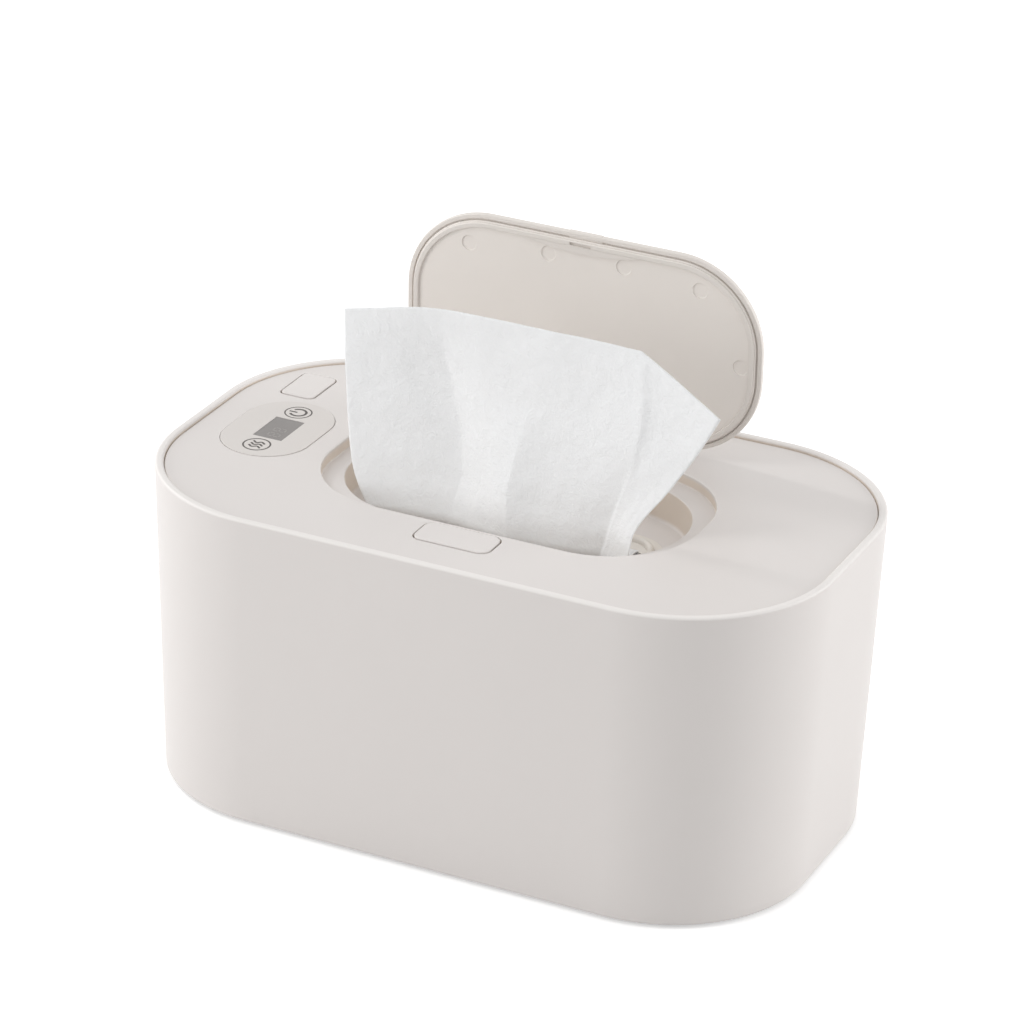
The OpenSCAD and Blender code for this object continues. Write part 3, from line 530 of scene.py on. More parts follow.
def outline(length, width, radius, centre=(0, 0)):
    """Points of a rounded rectangle, anticlockwise, the same number at any size."""
    points = []
    for corner, (sx, sy) in enumerate(((1, 1), (-1, 1), (-1, -1), (1, -1))):
        cx = centre[0] + sx * (length / 2 - radius)
        cy = centre[1] + sy * (width / 2 - radius)
        for step in range(ARC_STEPS + 1):
            angle = math.radians(90 * (corner + step / ARC_STEPS))
            points.append((cx + radius * math.cos(angle), cy + radius * math.sin(angle)))
    return points


def arc(inset, height, radius, start, end, steps=6):
    """Points of an arc in a profile. Angles are in degrees, from inwards, then upwards."""
    return [(inset + radius * math.cos(math.radians(start + (end - start) * k / steps)),
             height + radius * math.sin(math.radians(start + (end - start) * k / steps)))
            for k in range(steps + 1)]

# %% A solid from its corners
def new_piece(name, vertices, faces):
    """An object from vertices in millimetres, with its faces turned outwards."""
    mesh = bpy.data.meshes.new(name)
    mesh.from_pydata([(x * MM, y * MM, z * MM) for x, y, z in vertices], [], faces)
    shape = bmesh.new()
    shape.from_mesh(mesh)
    bmesh.ops.recalc_face_normals(shape, faces=shape.faces)
    shape.to_mesh(mesh)
    shape.free()
    piece = bpy.data.objects.new(name, mesh)
    bpy.context.scene.collection.objects.link(piece)
    return piece

# %% A profile carried round an outline
def carried(name, shape, profile, ring=False):
    """Carries a profile round an outline (length, width, radius, centre). A ring closes on
    itself; a body is capped at its first and last point."""
    length, width, radius, centre = shape
    loops = [[(x, y, z) for x, y in outline(length - 2 * d, width - 2 * d, radius - d, centre)]
             for d, z in profile]
    count = len(loops[0])
    faces = []
    last = len(loops) if ring else len(loops) - 1
    for row in range(last):
        above = (row + 1) % len(loops)
        for k in range(count):
            nxt = (k + 1) % count
            faces.append((row * count + k, row * count + nxt, above * count + nxt,
                          above * count + k))
    if not ring:
        faces.append(tuple(reversed(range(count))))
        faces.append(tuple((len(loops) - 1) * count + k for k in range(count)))
    return new_piece(name, [p for loop in loops for p in loop], faces)

# %% Blocks, prisms and rods
def block(name, low, high):
    """A box between two corners, as a tool or as a rib."""
    (x0, y0, z0), (x1, y1, z1) = low, high
    return new_piece(name, [(x0, y0, z0), (x1, y0, z0), (x1, y1, z0), (x0, y1, z0),
                            (x0, y0, z1), (x1, y0, z1), (x1, y1, z1), (x0, y1, z1)],
                     [(3, 2, 1, 0), (4, 5, 6, 7), (0, 1, 5, 4), (1, 2, 6, 5), (2, 3, 7, 6),
                      (3, 0, 4, 7)])


def prism(name, points, depth):
    """A flat outline of 3-D points carried along the vector depth."""
    count = len(points)
    moved = [tuple(a + b for a, b in zip(point, depth)) for point in points]
    faces = [tuple(range(count)), tuple(reversed(range(count, 2 * count)))]
    faces += [(k, (k + 1) % count, count + (k + 1) % count, count + k) for k in range(count)]
    return new_piece(name, list(points) + moved, faces)


def rod(name, start, end, radius, sides=32):
    """A round bar between two points."""
    start, end = Vector(start), Vector(end)
    along = (end - start).normalized()
    side = along.orthogonal().normalized()
    other = along.cross(side)
    ring = [start + radius * (math.cos(a) * side + math.sin(a) * other)
            for a in (2 * math.pi * k / sides for k in range(sides))]
    return prism(name, [tuple(p) for p in ring], tuple(end - start))

# %% Cuts and joins
def settle(piece):
    """Applies the piece's modifiers to its mesh."""
    bpy.context.view_layer.update()
    evaluated = piece.evaluated_get(bpy.context.evaluated_depsgraph_get())
    mesh = bpy.data.meshes.new_from_object(evaluated)
    old = piece.data
    piece.modifiers.clear()
    piece.data = mesh
    bpy.data.meshes.remove(old)
    mesh.name = piece.name


def combine(piece, operation, tools):
    """Joins the tools to a piece, or cuts them from it, and removes them."""
    for tool in tools:
        change = piece.modifiers.new(tool.name, "BOOLEAN")
        change.operation = operation
        change.object = tool
        change.solver = "EXACT"
    settle(piece)
    for tool in tools:
        bpy.data.meshes.remove(tool.data)


def join(piece, *tools):
    combine(piece, "UNION", tools)


def cut(piece, *tools):
    combine(piece, "DIFFERENCE", tools)

# %% The last step of every moulding
def open_edges(piece):
    """How many edges don't have exactly two faces: 0 in a closed moulding."""
    shape = bmesh.new()
    shape.from_mesh(piece.data)
    count = sum(1 for edge in shape.edges if len(edge.link_faces) != 2)
    shape.free()
    return count


def surface(piece, slot, body, *replaced, sharp=32):
    """Last step of a moulding: even shading, its finish, its body and the nodes it stands for."""
    shape = bmesh.new()
    shape.from_mesh(piece.data)
    bmesh.ops.remove_doubles(shape, verts=shape.verts, dist=0.0005 * MM)
    bmesh.ops.dissolve_degenerate(shape, edges=shape.edges, dist=0.0005 * MM)
    shape.to_mesh(piece.data)
    shape.free()
    piece.data.shade_smooth()
    piece.data.set_sharp_from_angle(angle=math.radians(sharp))
    even = piece.modifiers.new("even", "WEIGHTED_NORMAL")
    even.keep_sharp = True
    settle(piece)
    piece.data.materials.clear()
    piece.data.materials.append(finishes[slot])
    if replaced:
        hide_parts(*replaced)
    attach(piece, body)
    print(f"{piece.name}: {len(piece.data.polygons)} faces, {open_edges(piece)} open edges")
    return piece

# %% Tools for openings
def flared(top, radius):
    """Profile points from an opening's wall out over its upper edge, which it rounds. The last
    10 degrees of the rounding are left out, so that the tool leaves no sliver on the flat top."""
    points = arc(-radius, top - radius, radius, 0, 80, 5)
    inset, height = points[-1]
    slope = math.radians(80)
    points.append((inset - math.sin(slope), height + math.cos(slope)))
    points.append((points[-1][0], top + 3))
    return points


def opening_tool(name, shape, bottom, top, edge, foot=0):
    """A tool for an opening with a wall, a rounded upper edge and a rounded foot."""
    low = arc(foot, bottom + foot, foot, 270, 180, 5) if foot else [(0, bottom)]
    return carried(name, shape, low + flared(top, edge))

# %% [markdown]
# ## Sizes
#
# These are the drawing's sizes. The pieces below are built from them, so each lies exactly where
# its CAD node is. The sizes could also be measured on the CAD nodes' meshes, but written ones can
# be read, compared with the drawing and changed.

# %% Sizes shared by several pieces
BODY = (205, 124, 46.2, (0, 0))
RIM_Z = 97.5
BOTTOM_Z = 1.0
DRAFT = 2.9
WALL = 2.3
COVER = (199.6, 118.6, 43.5, (0, 0))
COVER_Z = 96.5
SKIN_Z = 94.5
OPENING = (0.3, -1.5)
RECESS = (114.4, 64, 28, OPENING)
WELL = (103.4, 52.2, 26, OPENING)
LEDGE_Z = 93
WELL_Z = 83
LID = (112, 61.2, 26.5, OPENING)
LID_AXIS = (36.6, 90.3)
LID_OPEN = 88
KNUCKLE_X = 25
KNUCKLE_R = 6.2


def grown(shape, by):
    """The same outline, larger by a margin all round."""
    length, width, radius, centre = shape
    return (length + 2 * by, width + 2 * by, radius + by, centre)


def drawn_in(height):
    """How far the tub's wall lies inside its rim at a height."""
    return DRAFT * (RIM_Z - height) / (RIM_Z - BOTTOM_Z)

# %% [markdown]
# ## Tub
#
# The tub is one deep moulding. Its wall draws in towards the bottom so that it leaves the tool,
# its rim is a slim bead that catches a thin light line, and its foot has a smaller rounding. A
# small ledge under the cover's edge keeps the gap shallow. Inside are the four lugs that hold the
# tank, and the shelf for the cover's contacts. It could be modelled as a bent box, but a profile
# carried round the outline gives the exact corner.

# %% Build the tub
BEAD = 0.85
BEAD_WALL = 2.55
lip = RIM_Z - BEAD
profile = [(drawn_in(BOTTOM_Z) + 0.8, BOTTOM_Z)]
profile += arc(drawn_in(BOTTOM_Z) + 0.8, BOTTOM_Z + 0.8, 0.8, 262, 182)
profile += [(drawn_in(z), z) for z in (20, 45, 70)]
profile += arc(BEAD, lip, BEAD, 180, 90, 8)
profile += arc(BEAD_WALL - BEAD, lip, BEAD, 90, 0, 8)
profile += [(BEAD_WALL, 95.2), (WALL, 94.9), (WALL, 94.5), (WALL + 0.2, 94.3),
            (WALL + 0.6, 94.3), (WALL + 0.6, 93.7), (WALL, 93.1)]
profile += [(WALL, 84), (WALL + drawn_in(84), 84), (WALL + drawn_in(BOTTOM_Z), BOTTOM_Z)]
tub = carried("tub", BODY, profile, ring=True)
print("tub's wall and rim, open edges:", open_edges(tub))

# %% Add the lugs and the shelf, and cut the screw holes and the inlet's mouth
LUG_LOW, LUG_TOP = 68, 81.6
RIB_REACH = 6.6
lugs, holes = [], []
for sx in (-1, 1):
    for sy in (-1, 1):
        foot = Vector((sx * 78, sy * 46))
        lugs.append(rod("lug", (*foot, LUG_LOW), (*foot, LUG_TOP), 3.2))
        holes.append(rod("hole", (*foot, LUG_LOW + 4), (*foot, LUG_TOP + 8.4), 1.1, 20))
        # a rib ties each lug to the corner of the wall
        out = Vector((sx * 21.7, sy * 30.2)).normalized() * RIB_REACH
        side = Vector((-out.y, out.x)).normalized() * 1.2
        corners = [foot - side, foot + out - side, foot + out + side, foot + side]
        lugs.append(prism("rib", [(*corner, LUG_LOW) for corner in corners],
                          (0, 0, LUG_TOP - LUG_LOW)))
join(tub, block("shelf", (88, -18, 76), (100.6, 18, 80)), *lugs)
INLET = (48, 8.5)
mouth = rod("mouth", (INLET[0], 66, INLET[1]), (INLET[0], 52, INLET[1]), 5, 64)
cut(tub, mouth, *holes)
surface(tub, "housing_plastic", "housing", "outer_shell")

# %% [markdown]
# ## Top cover
#
# The cover is a plate with a recess for the lid, and inside the recess a well with the slot. Real
# covers have these as one moulding, so the parts are joined first and all openings are cut last.
# The openings could be modelled into the plate's own faces, but a cut keeps each one a simple tool
# that can be moved alone. The small flare of each tool gives the soft edges that show as light
# lines in the photo.

# %% Join the cover's body
profile = [(0.15, SKIN_Z), (0, SKIN_Z + 0.15)] + arc(0.42, COVER_Z - 0.42, 0.42, 180, 90)
cover = carried("cover", COVER, profile)
parts = [
    carried("tray", grown(RECESS, 1), [(0, LEDGE_Z - 2), (0, SKIN_Z + 1)]),
    carried("well", grown(WELL, 1.8), [(0.5, WELL_Z - 1.8), (0, WELL_Z - 1.3), (0, LEDGE_Z - 1)]),
]
for s in (-1, 1):
    for e in (-1, 1):
        x = s * KNUCKLE_X + e * 6.2
        parts.append(block("ear", (x - 1.1, LID_AXIS[0] - 3, 87.4),
                           (x + 1.1, LID_AXIS[0] + 3, 95.5)))
    tab = [(96.2, 87.5), (97.4, 87.5), (98.2, 88.3), (98.2, 89), (97.4, 89), (97.4, 95.5),
           (96.2, 95.5)]
    parts.append(prism("tab", [(x, s * 14 - 2, z) for x, z in tab], (0, 4, 0)))
SCREWS_AT = ((-66, -44), (-66, 44), (66, -44), (66, 44), (22, -49.4), (0, 49.5))
for x, y in SCREWS_AT:
    parts.append(rod("boss", (x, y, 86.45), (x, y, 95.45), 2.6))
for x in (-86, -68):
    for y in (-19, 19):
        parts.append(rod("post", (x, y, 90.3), (x, y, 95.4), 1.5))
join(cover, *parts)
print("cover body, open edges:", open_edges(cover))

# %% Places of the cover's openings
LID_BUTTON = (23, 11.5, 3, (0.4, -40.6))
COVER_BUTTON = (10.6, 16.4, 1.8, (-83.9, 31.2))
PANEL = (27, 40, 13.4, (-77.3, -0.4))
DISPLAY_AT = (-76.9, -0.5)
DISPLAY = (9.3, 14.6)


def display_block(name, margin, low, high):
    """A block over the display window, larger by a margin all round."""
    (x, y), (length, width) = DISPLAY_AT, DISPLAY
    return block(name, (x - length / 2 - margin, y - width / 2 - margin, low),
                 (x + length / 2 + margin, y + width / 2 + margin, high))

# %% Cut the cover's openings
slot_hole = (90, 24, 11.9, OPENING)
tools = [
    opening_tool("recess_tool", RECESS, LEDGE_Z, COVER_Z, 0.4, 0.4),
    opening_tool("well_tool", WELL, WELL_Z, LEDGE_Z, 0.4, 1.2),
    carried("slot_tool", slot_hole, [(0, WELL_Z - 5), (0, WELL_Z + 2)]),
    block("latch_tool", (-4.4, -31.1, 90), (3.4, -27.2, 93.7)),
    rod("pin_tool", (-40, *LID_AXIS), (40, *LID_AXIS), 1.22),
    opening_tool("lid_button_tool", grown(LID_BUTTON, 0.5), 84, COVER_Z, 0.25),
    opening_tool("cover_button_tool", grown(COVER_BUTTON, 0.5), 84, COVER_Z, 0.25),
    opening_tool("panel_tool", grown(PANEL, 0.15), COVER_Z - 0.8, COVER_Z, 0.12),
    display_block("display_tool", 0.1, 90, 96),
]
for s in (-1, 1):
    notch = (9.6, 13.1, 0.8, (s * KNUCKLE_X, 36.65))
    tools.append(opening_tool("notch_tool", notch, 84, COVER_Z, 0.3))
for x, y in SCREWS_AT:
    tools.append(rod("screw_tool", (x, y, 80), (x, y, 93.8), 1.1, 20))
for tool in tools:
    cut(cover, tool)
surface(cover, "cover_plastic", "cover", "top_cover")

# %% Build the hook that latches the lid: its thin nose goes into the slot in the lid's edge
hook = [(-30.7, 86.5), (-29.7, 86.5), (-29.7, 90.8), (-28.7, 92), (-28.7, 93.4), (-28.9, 93.6),
        (-29.1, 93.6), (-29.3, 93.4), (-29.3, 92.2), (-30.7, 90.8)]
latch = prism("lid_latch", [(-3.2, y, z) for y, z in hook], (5.4, 0, 0))
join(latch, block("latch_foot", (-3.2, -34.4, 86.45), (2.2, -30, 87.65)))
surface(latch, "latch_plastic", "cover", "lid_latch_hook")

# %% [markdown]
# ## Slot plate
#
# The wipe is held by a soft plate with a rounded lip round the slot. It sits in the floor of the
# well. The lip is a full round in the profile, because fingers and cloth slide over it, and thin
# webs at its ends keep the wipe from slipping sideways. Lip, groove and flange could be separate
# rings, but one closed profile gives all three as the single soft moulding that they are.

# %% Build the slot plate
SLOT_PLATE = (94, 28, 13.9, OPENING)
profile = [(6.8, 79.8), (0.3, 79.8), (0, 80.1), (0, 81.15), (2.2, 81.15), (2.2, 83.4)]
profile += arc(2.6, 83.4, 0.4, 180, 90, 4)
profile += [(4.7, 83.8)] + arc(4.7, 84.1, 0.3, 270, 360, 4)
profile += arc(6, 84.2, 1.0, 180, 0, 10) + [(7, 80)]
slot_plate = carried("slot_plate_soft", SLOT_PLATE, profile, ring=True)
lips = carried("webs", (80.6, 14.6, 7.2, OPENING), [(0, 82.9), (0, 83.6)])
cut(lips, carried("slit", (79.2, 4.6, 2.3, (0.3, -2.3)), [(0, 82), (0, 85)]),
    block("mouth", (-32.3, -12, 82), (32.7, 9, 85)))
join(slot_plate, lips)
surface(slot_plate, "silicone", "cover", "slot_plate")

# %% [markdown]
# ## Flip lid
#
# The lid's shell is a shallow tray, its inner panel closes the tray and carries the marks of the
# tool's ejector pins, and a ridge runs round the panel to keep the wipes damp. The lid could be
# drawn open, as it stands in the photo, but then every size would be a slanted one. So it is drawn
# shut, in the recess, and then turned open about its pin, as it is in the CAD source.

# %% Turn a piece open about the lid's pin
def opened(piece):
    """Swings a piece that was made shut to the lid's open place."""
    axis = Vector((0, LID_AXIS[0], LID_AXIS[1])) * MM
    swing = Matrix.Rotation(math.radians(-LID_OPEN), 4, "X")
    piece.data.transform(Matrix.Translation(axis) @ swing @ Matrix.Translation(-axis))
    return piece

# %% Build the lid's shell
profile = [(1.4, COVER_Z - 1.6), (1.4, COVER_Z - 2.1)]
profile += arc(1.2, COVER_Z - 2.1, 0.2, 360, 270, 3) + arc(0.35, COVER_Z - 1.95, 0.35, 270, 180, 4)
profile += arc(1.1, COVER_Z - 1.1, 1.1, 180, 90)
lid = carried("lid_shell", LID, profile)
extras = []
for s in (-1, 1):
    turns = [-38 + 164 * k / 16 for k in range(17)]
    rim = [(LID_AXIS[0] - KNUCKLE_R * math.sin(math.radians(t)),
            LID_AXIS[1] + KNUCKLE_R * math.cos(math.radians(t))) for t in turns]
    turns = [126 + 196 * k / 16 for k in range(17)]
    hub = [(LID_AXIS[0] - 2.8 * math.sin(math.radians(t)),
            LID_AXIS[1] + 2.8 * math.cos(math.radians(t))) for t in turns]
    knuckle = prism("knuckle", [(s * KNUCKLE_X - 4.5, y, z) for y, z in rim + hub], (9, 0, 0))
    softer = knuckle.modifiers.new("softer", "BEVEL")
    softer.width = 0.3 * MM
    softer.segments = 2
    softer.limit_method = "ANGLE"
    softer.angle_limit = math.radians(50)
    settle(knuckle)
    extras.append(knuckle)
    extras.append(block("bridge", (s * KNUCKLE_X - 4.5, 28.4, COVER_Z - 2.25),
                        (s * KNUCKLE_X + 4.5, 32.8, COVER_Z - 0.35)))
# finger lip in the middle of the front edge
lip_shape = (10.8, 2.4, 0.5, (0.7, -31.25))
extras.append(carried("finger_lip", lip_shape,
                      [(0.3, 94.4), (0, 94.7), (0, 95.3), (0.3, 95.6)]))
join(lid, *extras)
cut(lid, *[rod("bore", (s * KNUCKLE_X - 8, *LID_AXIS), (s * KNUCKLE_X + 8, *LID_AXIS), 1.25)
           for s in (-1, 1)])
surface(opened(lid), "lid_plastic", "lid", "flip_lid")

# %% Build the lid's inner panel
face_z = COVER_Z - 2.7
profile = [(1.9, COVER_Z - 1.65), (1.9, face_z + 0.3)] + arc(2.2, face_z + 0.3, 0.3, 180, 270, 4)
panel = carried("lid_panel", LID, profile)
marks = [(-35.8, -22.4), (-10.6, -24.2), (13.0, -24.6), (36.8, -22.3), (50, -1.1), (-36, 19.5),
         (36.6, 19.5)]
tools = [carried("mark", (4.6, 4.6, 2.25, at), arc(0.25, face_z + 0.1, 0.25, 90, 180, 3)
                 + arc(-0.2, face_z + 0.15, 0.2, 0, -70, 3) + [(-0.5, face_z - 2)])
         for at in marks]
for tool in tools:
    cut(panel, tool)
surface(opened(panel), "lid_inner_plastic", "lid", "lid_inner_panel")

# %% Build the ridge round the panel, which widens to a lens where the lid latches
top = face_z - 0.05
profile = [(2.2, top), (2.2, top - 0.35)] + arc(2.6, top - 0.35, 0.35, 180, 270, 4)
profile += arc(3.5, top - 0.35, 0.35, 270, 360, 4) + [(3.9, top)]
ridge = carried("lid_ridge", LID, profile, ring=True)
turns = [math.radians(-12.6 + 25.2 * k / 32) for k in range(33)]
low_arc = [(81 * math.sin(t), -107.2 + 81 * math.cos(t)) for t in turns]
ends = [(x, -29) for x in (low_arc[-1][0], low_arc[0][0])]
lens = prism("lens", [(x, y, face_z - 0.58) for x, y in low_arc + ends], (0, 0, 0.53))
join(ridge, lens)
cut(ridge, block("latch_slot", (-3.7, -29.45, face_z - 2), (2.9, -28.55, face_z - 0.12)))
surface(opened(ridge), "lid_plastic", "lid", "lid_seal")

# %% [markdown]
# ## Buttons
#
# Both buttons stand a little proud, with a thin gap round them. A plain block would look the same
# from above. But the mesh of each piece is also used by itself, so each button is the whole cap:
# hollow below, with a flange that keeps it in and a stem over its spring.

# %% A button's cap
BUTTON_Z = COVER_Z + 0.2
BUTTON_EDGE = 0.35


def button(name, shape, flange):
    """A hollow cap with a rounded edge, joined to its flange and stem."""
    length, width, radius, centre = shape
    edge = arc(BUTTON_EDGE, BUTTON_Z - BUTTON_EDGE, BUTTON_EDGE, 180, 90)
    cap = carried(name, shape, [(0, SKIN_Z - 1.4)] + edge)
    join(cap, flange)
    inside = (length - 3, width - 3, max(radius - 1.5, 0.6), centre)
    cut(cap, carried("hollow", inside, [(0, SKIN_Z - 2), (0, COVER_Z - 1.2)]))
    join(cap, rod("stem", (*centre, SKIN_Z - 3), (*centre, SKIN_Z + 1.2), 1.6))
    return cap

# %% Build the lid's button
bx, by = LID_BUTTON[3]
flange = block("flange", (bx - 12.9, by - 7.15, SKIN_Z - 1.4), (bx + 12.9, by + 4.95, SKIN_Z - 0.1))
surface(button("lid_button_cap", LID_BUTTON, flange), "button_plastic", "lid_button",
        "lid_release_button")

# %% Build the cover's button, with the wedge that works the cover's hook
CORNER = (-56.3, 15.8)
bx, by = COVER_BUTTON[3]
LATCH_TURN = math.atan2(by - CORNER[1], bx - CORNER[0])
flange = carried("flange", (12.8, 18.4, 1.8, (bx, by)), [(0, SKIN_Z - 1.4), (0, SKIN_Z - 0.1)])
wedge_side = Vector((-math.sin(LATCH_TURN), math.cos(LATCH_TURN))) * 2.6
wedge_out = Vector((math.cos(LATCH_TURN), math.sin(LATCH_TURN)))
# the wedge ends just short of the cover's hook, so that the two don't touch at the full press
wedge = []
for x, z in ((3.5, 94.2), (6.2, 94.2), (6.2, 93.4), (8.3, 93.4), (8.3, 91.4), (7.2, 90.3),
             (3.5, 90.3)):
    spot = Vector((bx, by)) + wedge_out * x - wedge_side
    wedge.append((spot.x, spot.y, z))
cap = button("cover_button_cap", COVER_BUTTON, flange)
trim = carried("trim", (160, 160, 79.9, CORNER), [(0, SKIN_Z - 3), (0, SKIN_Z - 0.05)])
cut(trim, carried("keep", (78.8, 78.8, 39.35, CORNER), [(0, SKIN_Z - 4), (0, SKIN_Z + 1)]))
cut(cap, trim)
join(cap, prism("wedge", wedge, (2 * wedge_side.x, 2 * wedge_side.y, 0)))
surface(cap, "button_plastic", "cover_button", "cover_release_button")

# %% [markdown]
# ## Springs
#
# In the CAD the springs are plain tubes. Here they are wound from wire. The two under the buttons,
# which get shorter as their button is pressed, are wound at their length with the button up. The
# lid's spring sits on the pin, with one leg under the cover's skin and the other beside the lid's
# knuckle. A curve with a round bevel would make a wire too. Rings of corners along the points are
# as short to write, and their ends close flat.

# %% A wire along points
WIRE_SIDES = 8


def wire(name, points, radius):
    """A round wire along points, with flat ends. Its cross-section never twists."""
    points = [Vector(point) for point in points]
    side = (points[1] - points[0]).orthogonal().normalized()
    vertices = []
    for k, point in enumerate(points):
        along = (points[min(k + 1, len(points) - 1)] - points[max(k - 1, 0)]).normalized()
        side = (side - side.dot(along) * along).normalized()
        other = along.cross(side)
        for a in (2 * math.pi * j / WIRE_SIDES for j in range(WIRE_SIDES)):
            vertices.append(tuple(point + radius * (math.cos(a) * side + math.sin(a) * other)))
    last = len(points) - 1
    faces = []
    for row in range(last):
        for j in range(WIRE_SIDES):
            nxt = (j + 1) % WIRE_SIDES
            faces.append((row * WIRE_SIDES + j, row * WIRE_SIDES + nxt,
                          (row + 1) * WIRE_SIDES + nxt, (row + 1) * WIRE_SIDES + j))
    faces.append(tuple(reversed(range(WIRE_SIDES))))
    faces.append(tuple(last * WIRE_SIDES + j for j in range(WIRE_SIDES)))
    return new_piece(name, vertices, faces)

# %% Wind the springs under the buttons
TURN_STEPS = 24
LINER_TOP = 86.42
COIL_RADIUS = 2.55
COIL_WIRE = 0.32
COIL_TURNS = 6
# each end lies flat for this share of a turn, so that the next turn just clears it
CLOSED_TURN = 0.62
free = COVER_Z - 1.22 - LINER_TOP
for name, at, joint, travel in (
        ("lid_button_spring", LID_BUTTON[3], "lid_button_press", 1.5),
        ("cover_button_spring", COVER_BUTTON[3], "cover_button_press", 2)):
    coil = []
    for k in range(COIL_TURNS * TURN_STEPS + 1):
        turn = k / TURN_STEPS
        rise = min(max((turn - CLOSED_TURN) / (COIL_TURNS - 2 * CLOSED_TURN), 0), 1)
        coil.append((at[0] + COIL_RADIUS * math.cos(2 * math.pi * turn),
                     at[1] + COIL_RADIUS * math.sin(2 * math.pi * turn),
                     LINER_TOP + 0.33 + rise * (free - 0.66)))
    spring = wire(name + "_coil", coil, COIL_WIRE)
    surface(spring, "pin_steel", "cover", name)
    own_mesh(spring)

# %% Wind the lid's spring round its pin, between its two legs
LID_COIL_RADIUS = 1.96
LID_COIL_TURNS = 12.91
y, z = LID_AXIS
coil = [(-20.3, y - 4, z), (-8, y - 4, z), (-7.2, y - 3.8, z), (-7, y - 3, z),
        (-7, y - 2.4, z - 0.2)]
for k in range(int(LID_COIL_TURNS * TURN_STEPS) + 1):
    turn = k / TURN_STEPS
    angle = math.pi * (1.175 + 2 * turn)
    coil.append((-7 + 13.5 * turn / LID_COIL_TURNS, y + LID_COIL_RADIUS * math.cos(angle),
                 z + LID_COIL_RADIUS * math.sin(angle)))
coil += [(6.5, y + LID_COIL_RADIUS, z + 0.3), (6.5, y + LID_COIL_RADIUS, z + 3.9)]
surface(wire("lid_spring_coil", coil, 0.38), "pin_steel", "cover", "flip_lid_spring")

# %% [markdown]
# ## Touch panel
#
# A thin film lies in a shallow seat at the left end. It carries a smoked window with faint
# figures behind it, and two printed keys: a power sign and a sign of rising warmth. A picture on
# the film could carry the print, but it would blur from near. So the print is a real layer of ink,
# a fiftieth of a millimetre thick, made of strokes along lines.

# %% Build the film and the window
film_top = COVER_Z + 0.15
film = carried("panel_film", PANEL,
               [(0, COVER_Z - 0.75)] + arc(0.12, film_top - 0.12, 0.12, 180, 90, 3))
cut(film, display_block("window_tool", 0, 90, 100))
surface(film, "panel_film", "cover", "control_panel")

window_top = COVER_Z + 0.1
window = carried("window", (9.2, 14.5, 0.25, DISPLAY_AT),
                 [(0, COVER_Z - 0.75)] + arc(0.08, window_top - 0.08, 0.08, 180, 90, 3))
surface(window, "display_grey", "cover", "display_window")

# %% Strokes of ink
INK = 0.02


def stroke(points, width, level, closed=False):
    """Corners of a band of ink along points, as (vertices, faces) of one closed solid."""
    count = len(points)
    left, right = [], []
    for k, (x, y) in enumerate(points):
        before = points[(k - 1) % count] if closed or k else points[k]
        after = points[(k + 1) % count] if closed or k < count - 1 else points[k]
        along = Vector((after[0] - before[0], after[1] - before[1])).normalized()
        side = Vector((-along.y, along.x)) * width / 2
        left.append((x + side.x, y + side.y))
        right.append((x - side.x, y - side.y))
    vertices = [(x, y, level + lift) for lift in (0, INK) for row in (left, right) for x, y in row]
    faces = []
    spans = count if closed else count - 1
    for k in range(spans):
        n = (k + 1) % count
        faces += [(k, n, count + n, count + k), (2 * count + k, 3 * count + k, 3 * count + n,
                                                 2 * count + n),
                  (k, 2 * count + k, 2 * count + n, n),
                  (count + k, count + n, 3 * count + n, 3 * count + k)]
    if not closed:
        end = count - 1
        faces += [(0, count, 3 * count, 2 * count),
                  (end, 2 * count + end, 3 * count + end, count + end)]
    return vertices, faces

# %% Prints and circles
def printed(name, strokes, ink):
    """One piece from several strokes."""
    vertices, faces = [], []
    for some, these in strokes:
        start = len(vertices)
        vertices += some
        faces += [tuple(start + k for k in face) for face in these]
    piece = new_piece(name, vertices, faces)
    surface(piece, ink, "cover")
    return piece


CIRCLE_STEPS = 48


def circle(centre, radius, start=0, end=360):
    """Points round a centre. A full circle leaves out its last point."""
    count = CIRCLE_STEPS if end - start == 360 else CIRCLE_STEPS + 1
    angles = [math.radians(start + (end - start) * k / CIRCLE_STEPS) for k in range(count)]
    return [(centre[0] + radius * math.cos(a), centre[1] + radius * math.sin(a)) for a in angles]

# %% Print the two keys
power_at = (-77.3, 12.3)
heat_at = (-77.3, -13.2)
signs = [stroke(circle(power_at, 3.95), 0.42, film_top, closed=True),
         stroke(circle(power_at, 2.35, 215, 505), 0.75, film_top),
         stroke([(power_at[0] - 0.3, power_at[1]), (power_at[0] - 2.9, power_at[1])], 0.65,
                film_top)]
printed("power_sign", signs, "symbol_ink")
signs = [stroke(circle(heat_at, 3.95), 0.5, film_top, closed=True)]
for shift in (-1.5, 0, 1.5):
    wave = [(heat_at[0] + 2.1 * t, heat_at[1] + shift + 0.42 * math.sin(math.pi * 1.5 * t))
            for t in np.linspace(-1, 1, 17)]
    signs.append(stroke(wave, 0.66, film_top))
printed("heat_sign", signs, "symbol_ink")

# %% Figures behind the window
FIGURE_HALF_TALL = 1.84
FIGURE_HALF_WIDE = 1.04
BAR_WIDTH = 0.42
BAR_GAP = 0.27


def figure(x, y):
    """A figure of seven bars, all lit. It reads from the lid's side, so its top points to -X."""
    tall, wide = FIGURE_HALF_TALL, FIGURE_HALF_WIDE
    across = [((level, -wide), (level, wide)) for level in (-tall, 0, tall)]
    upright = [((level, side), (level + tall, side)) for level in (-tall, 0)
               for side in (-wide, wide)]
    out = []
    for bar in across + upright:
        start, end = (Vector(corner) for corner in bar)
        gap = (end - start).normalized() * BAR_GAP
        out.append(stroke([(x + p.x, y + p.y) for p in (start + gap, end - gap)], BAR_WIDTH,
                          window_top))
    return out


printed("window_figures", figure(-76.2, -4.8) + figure(-76.2, -1.2), "faint_ink")
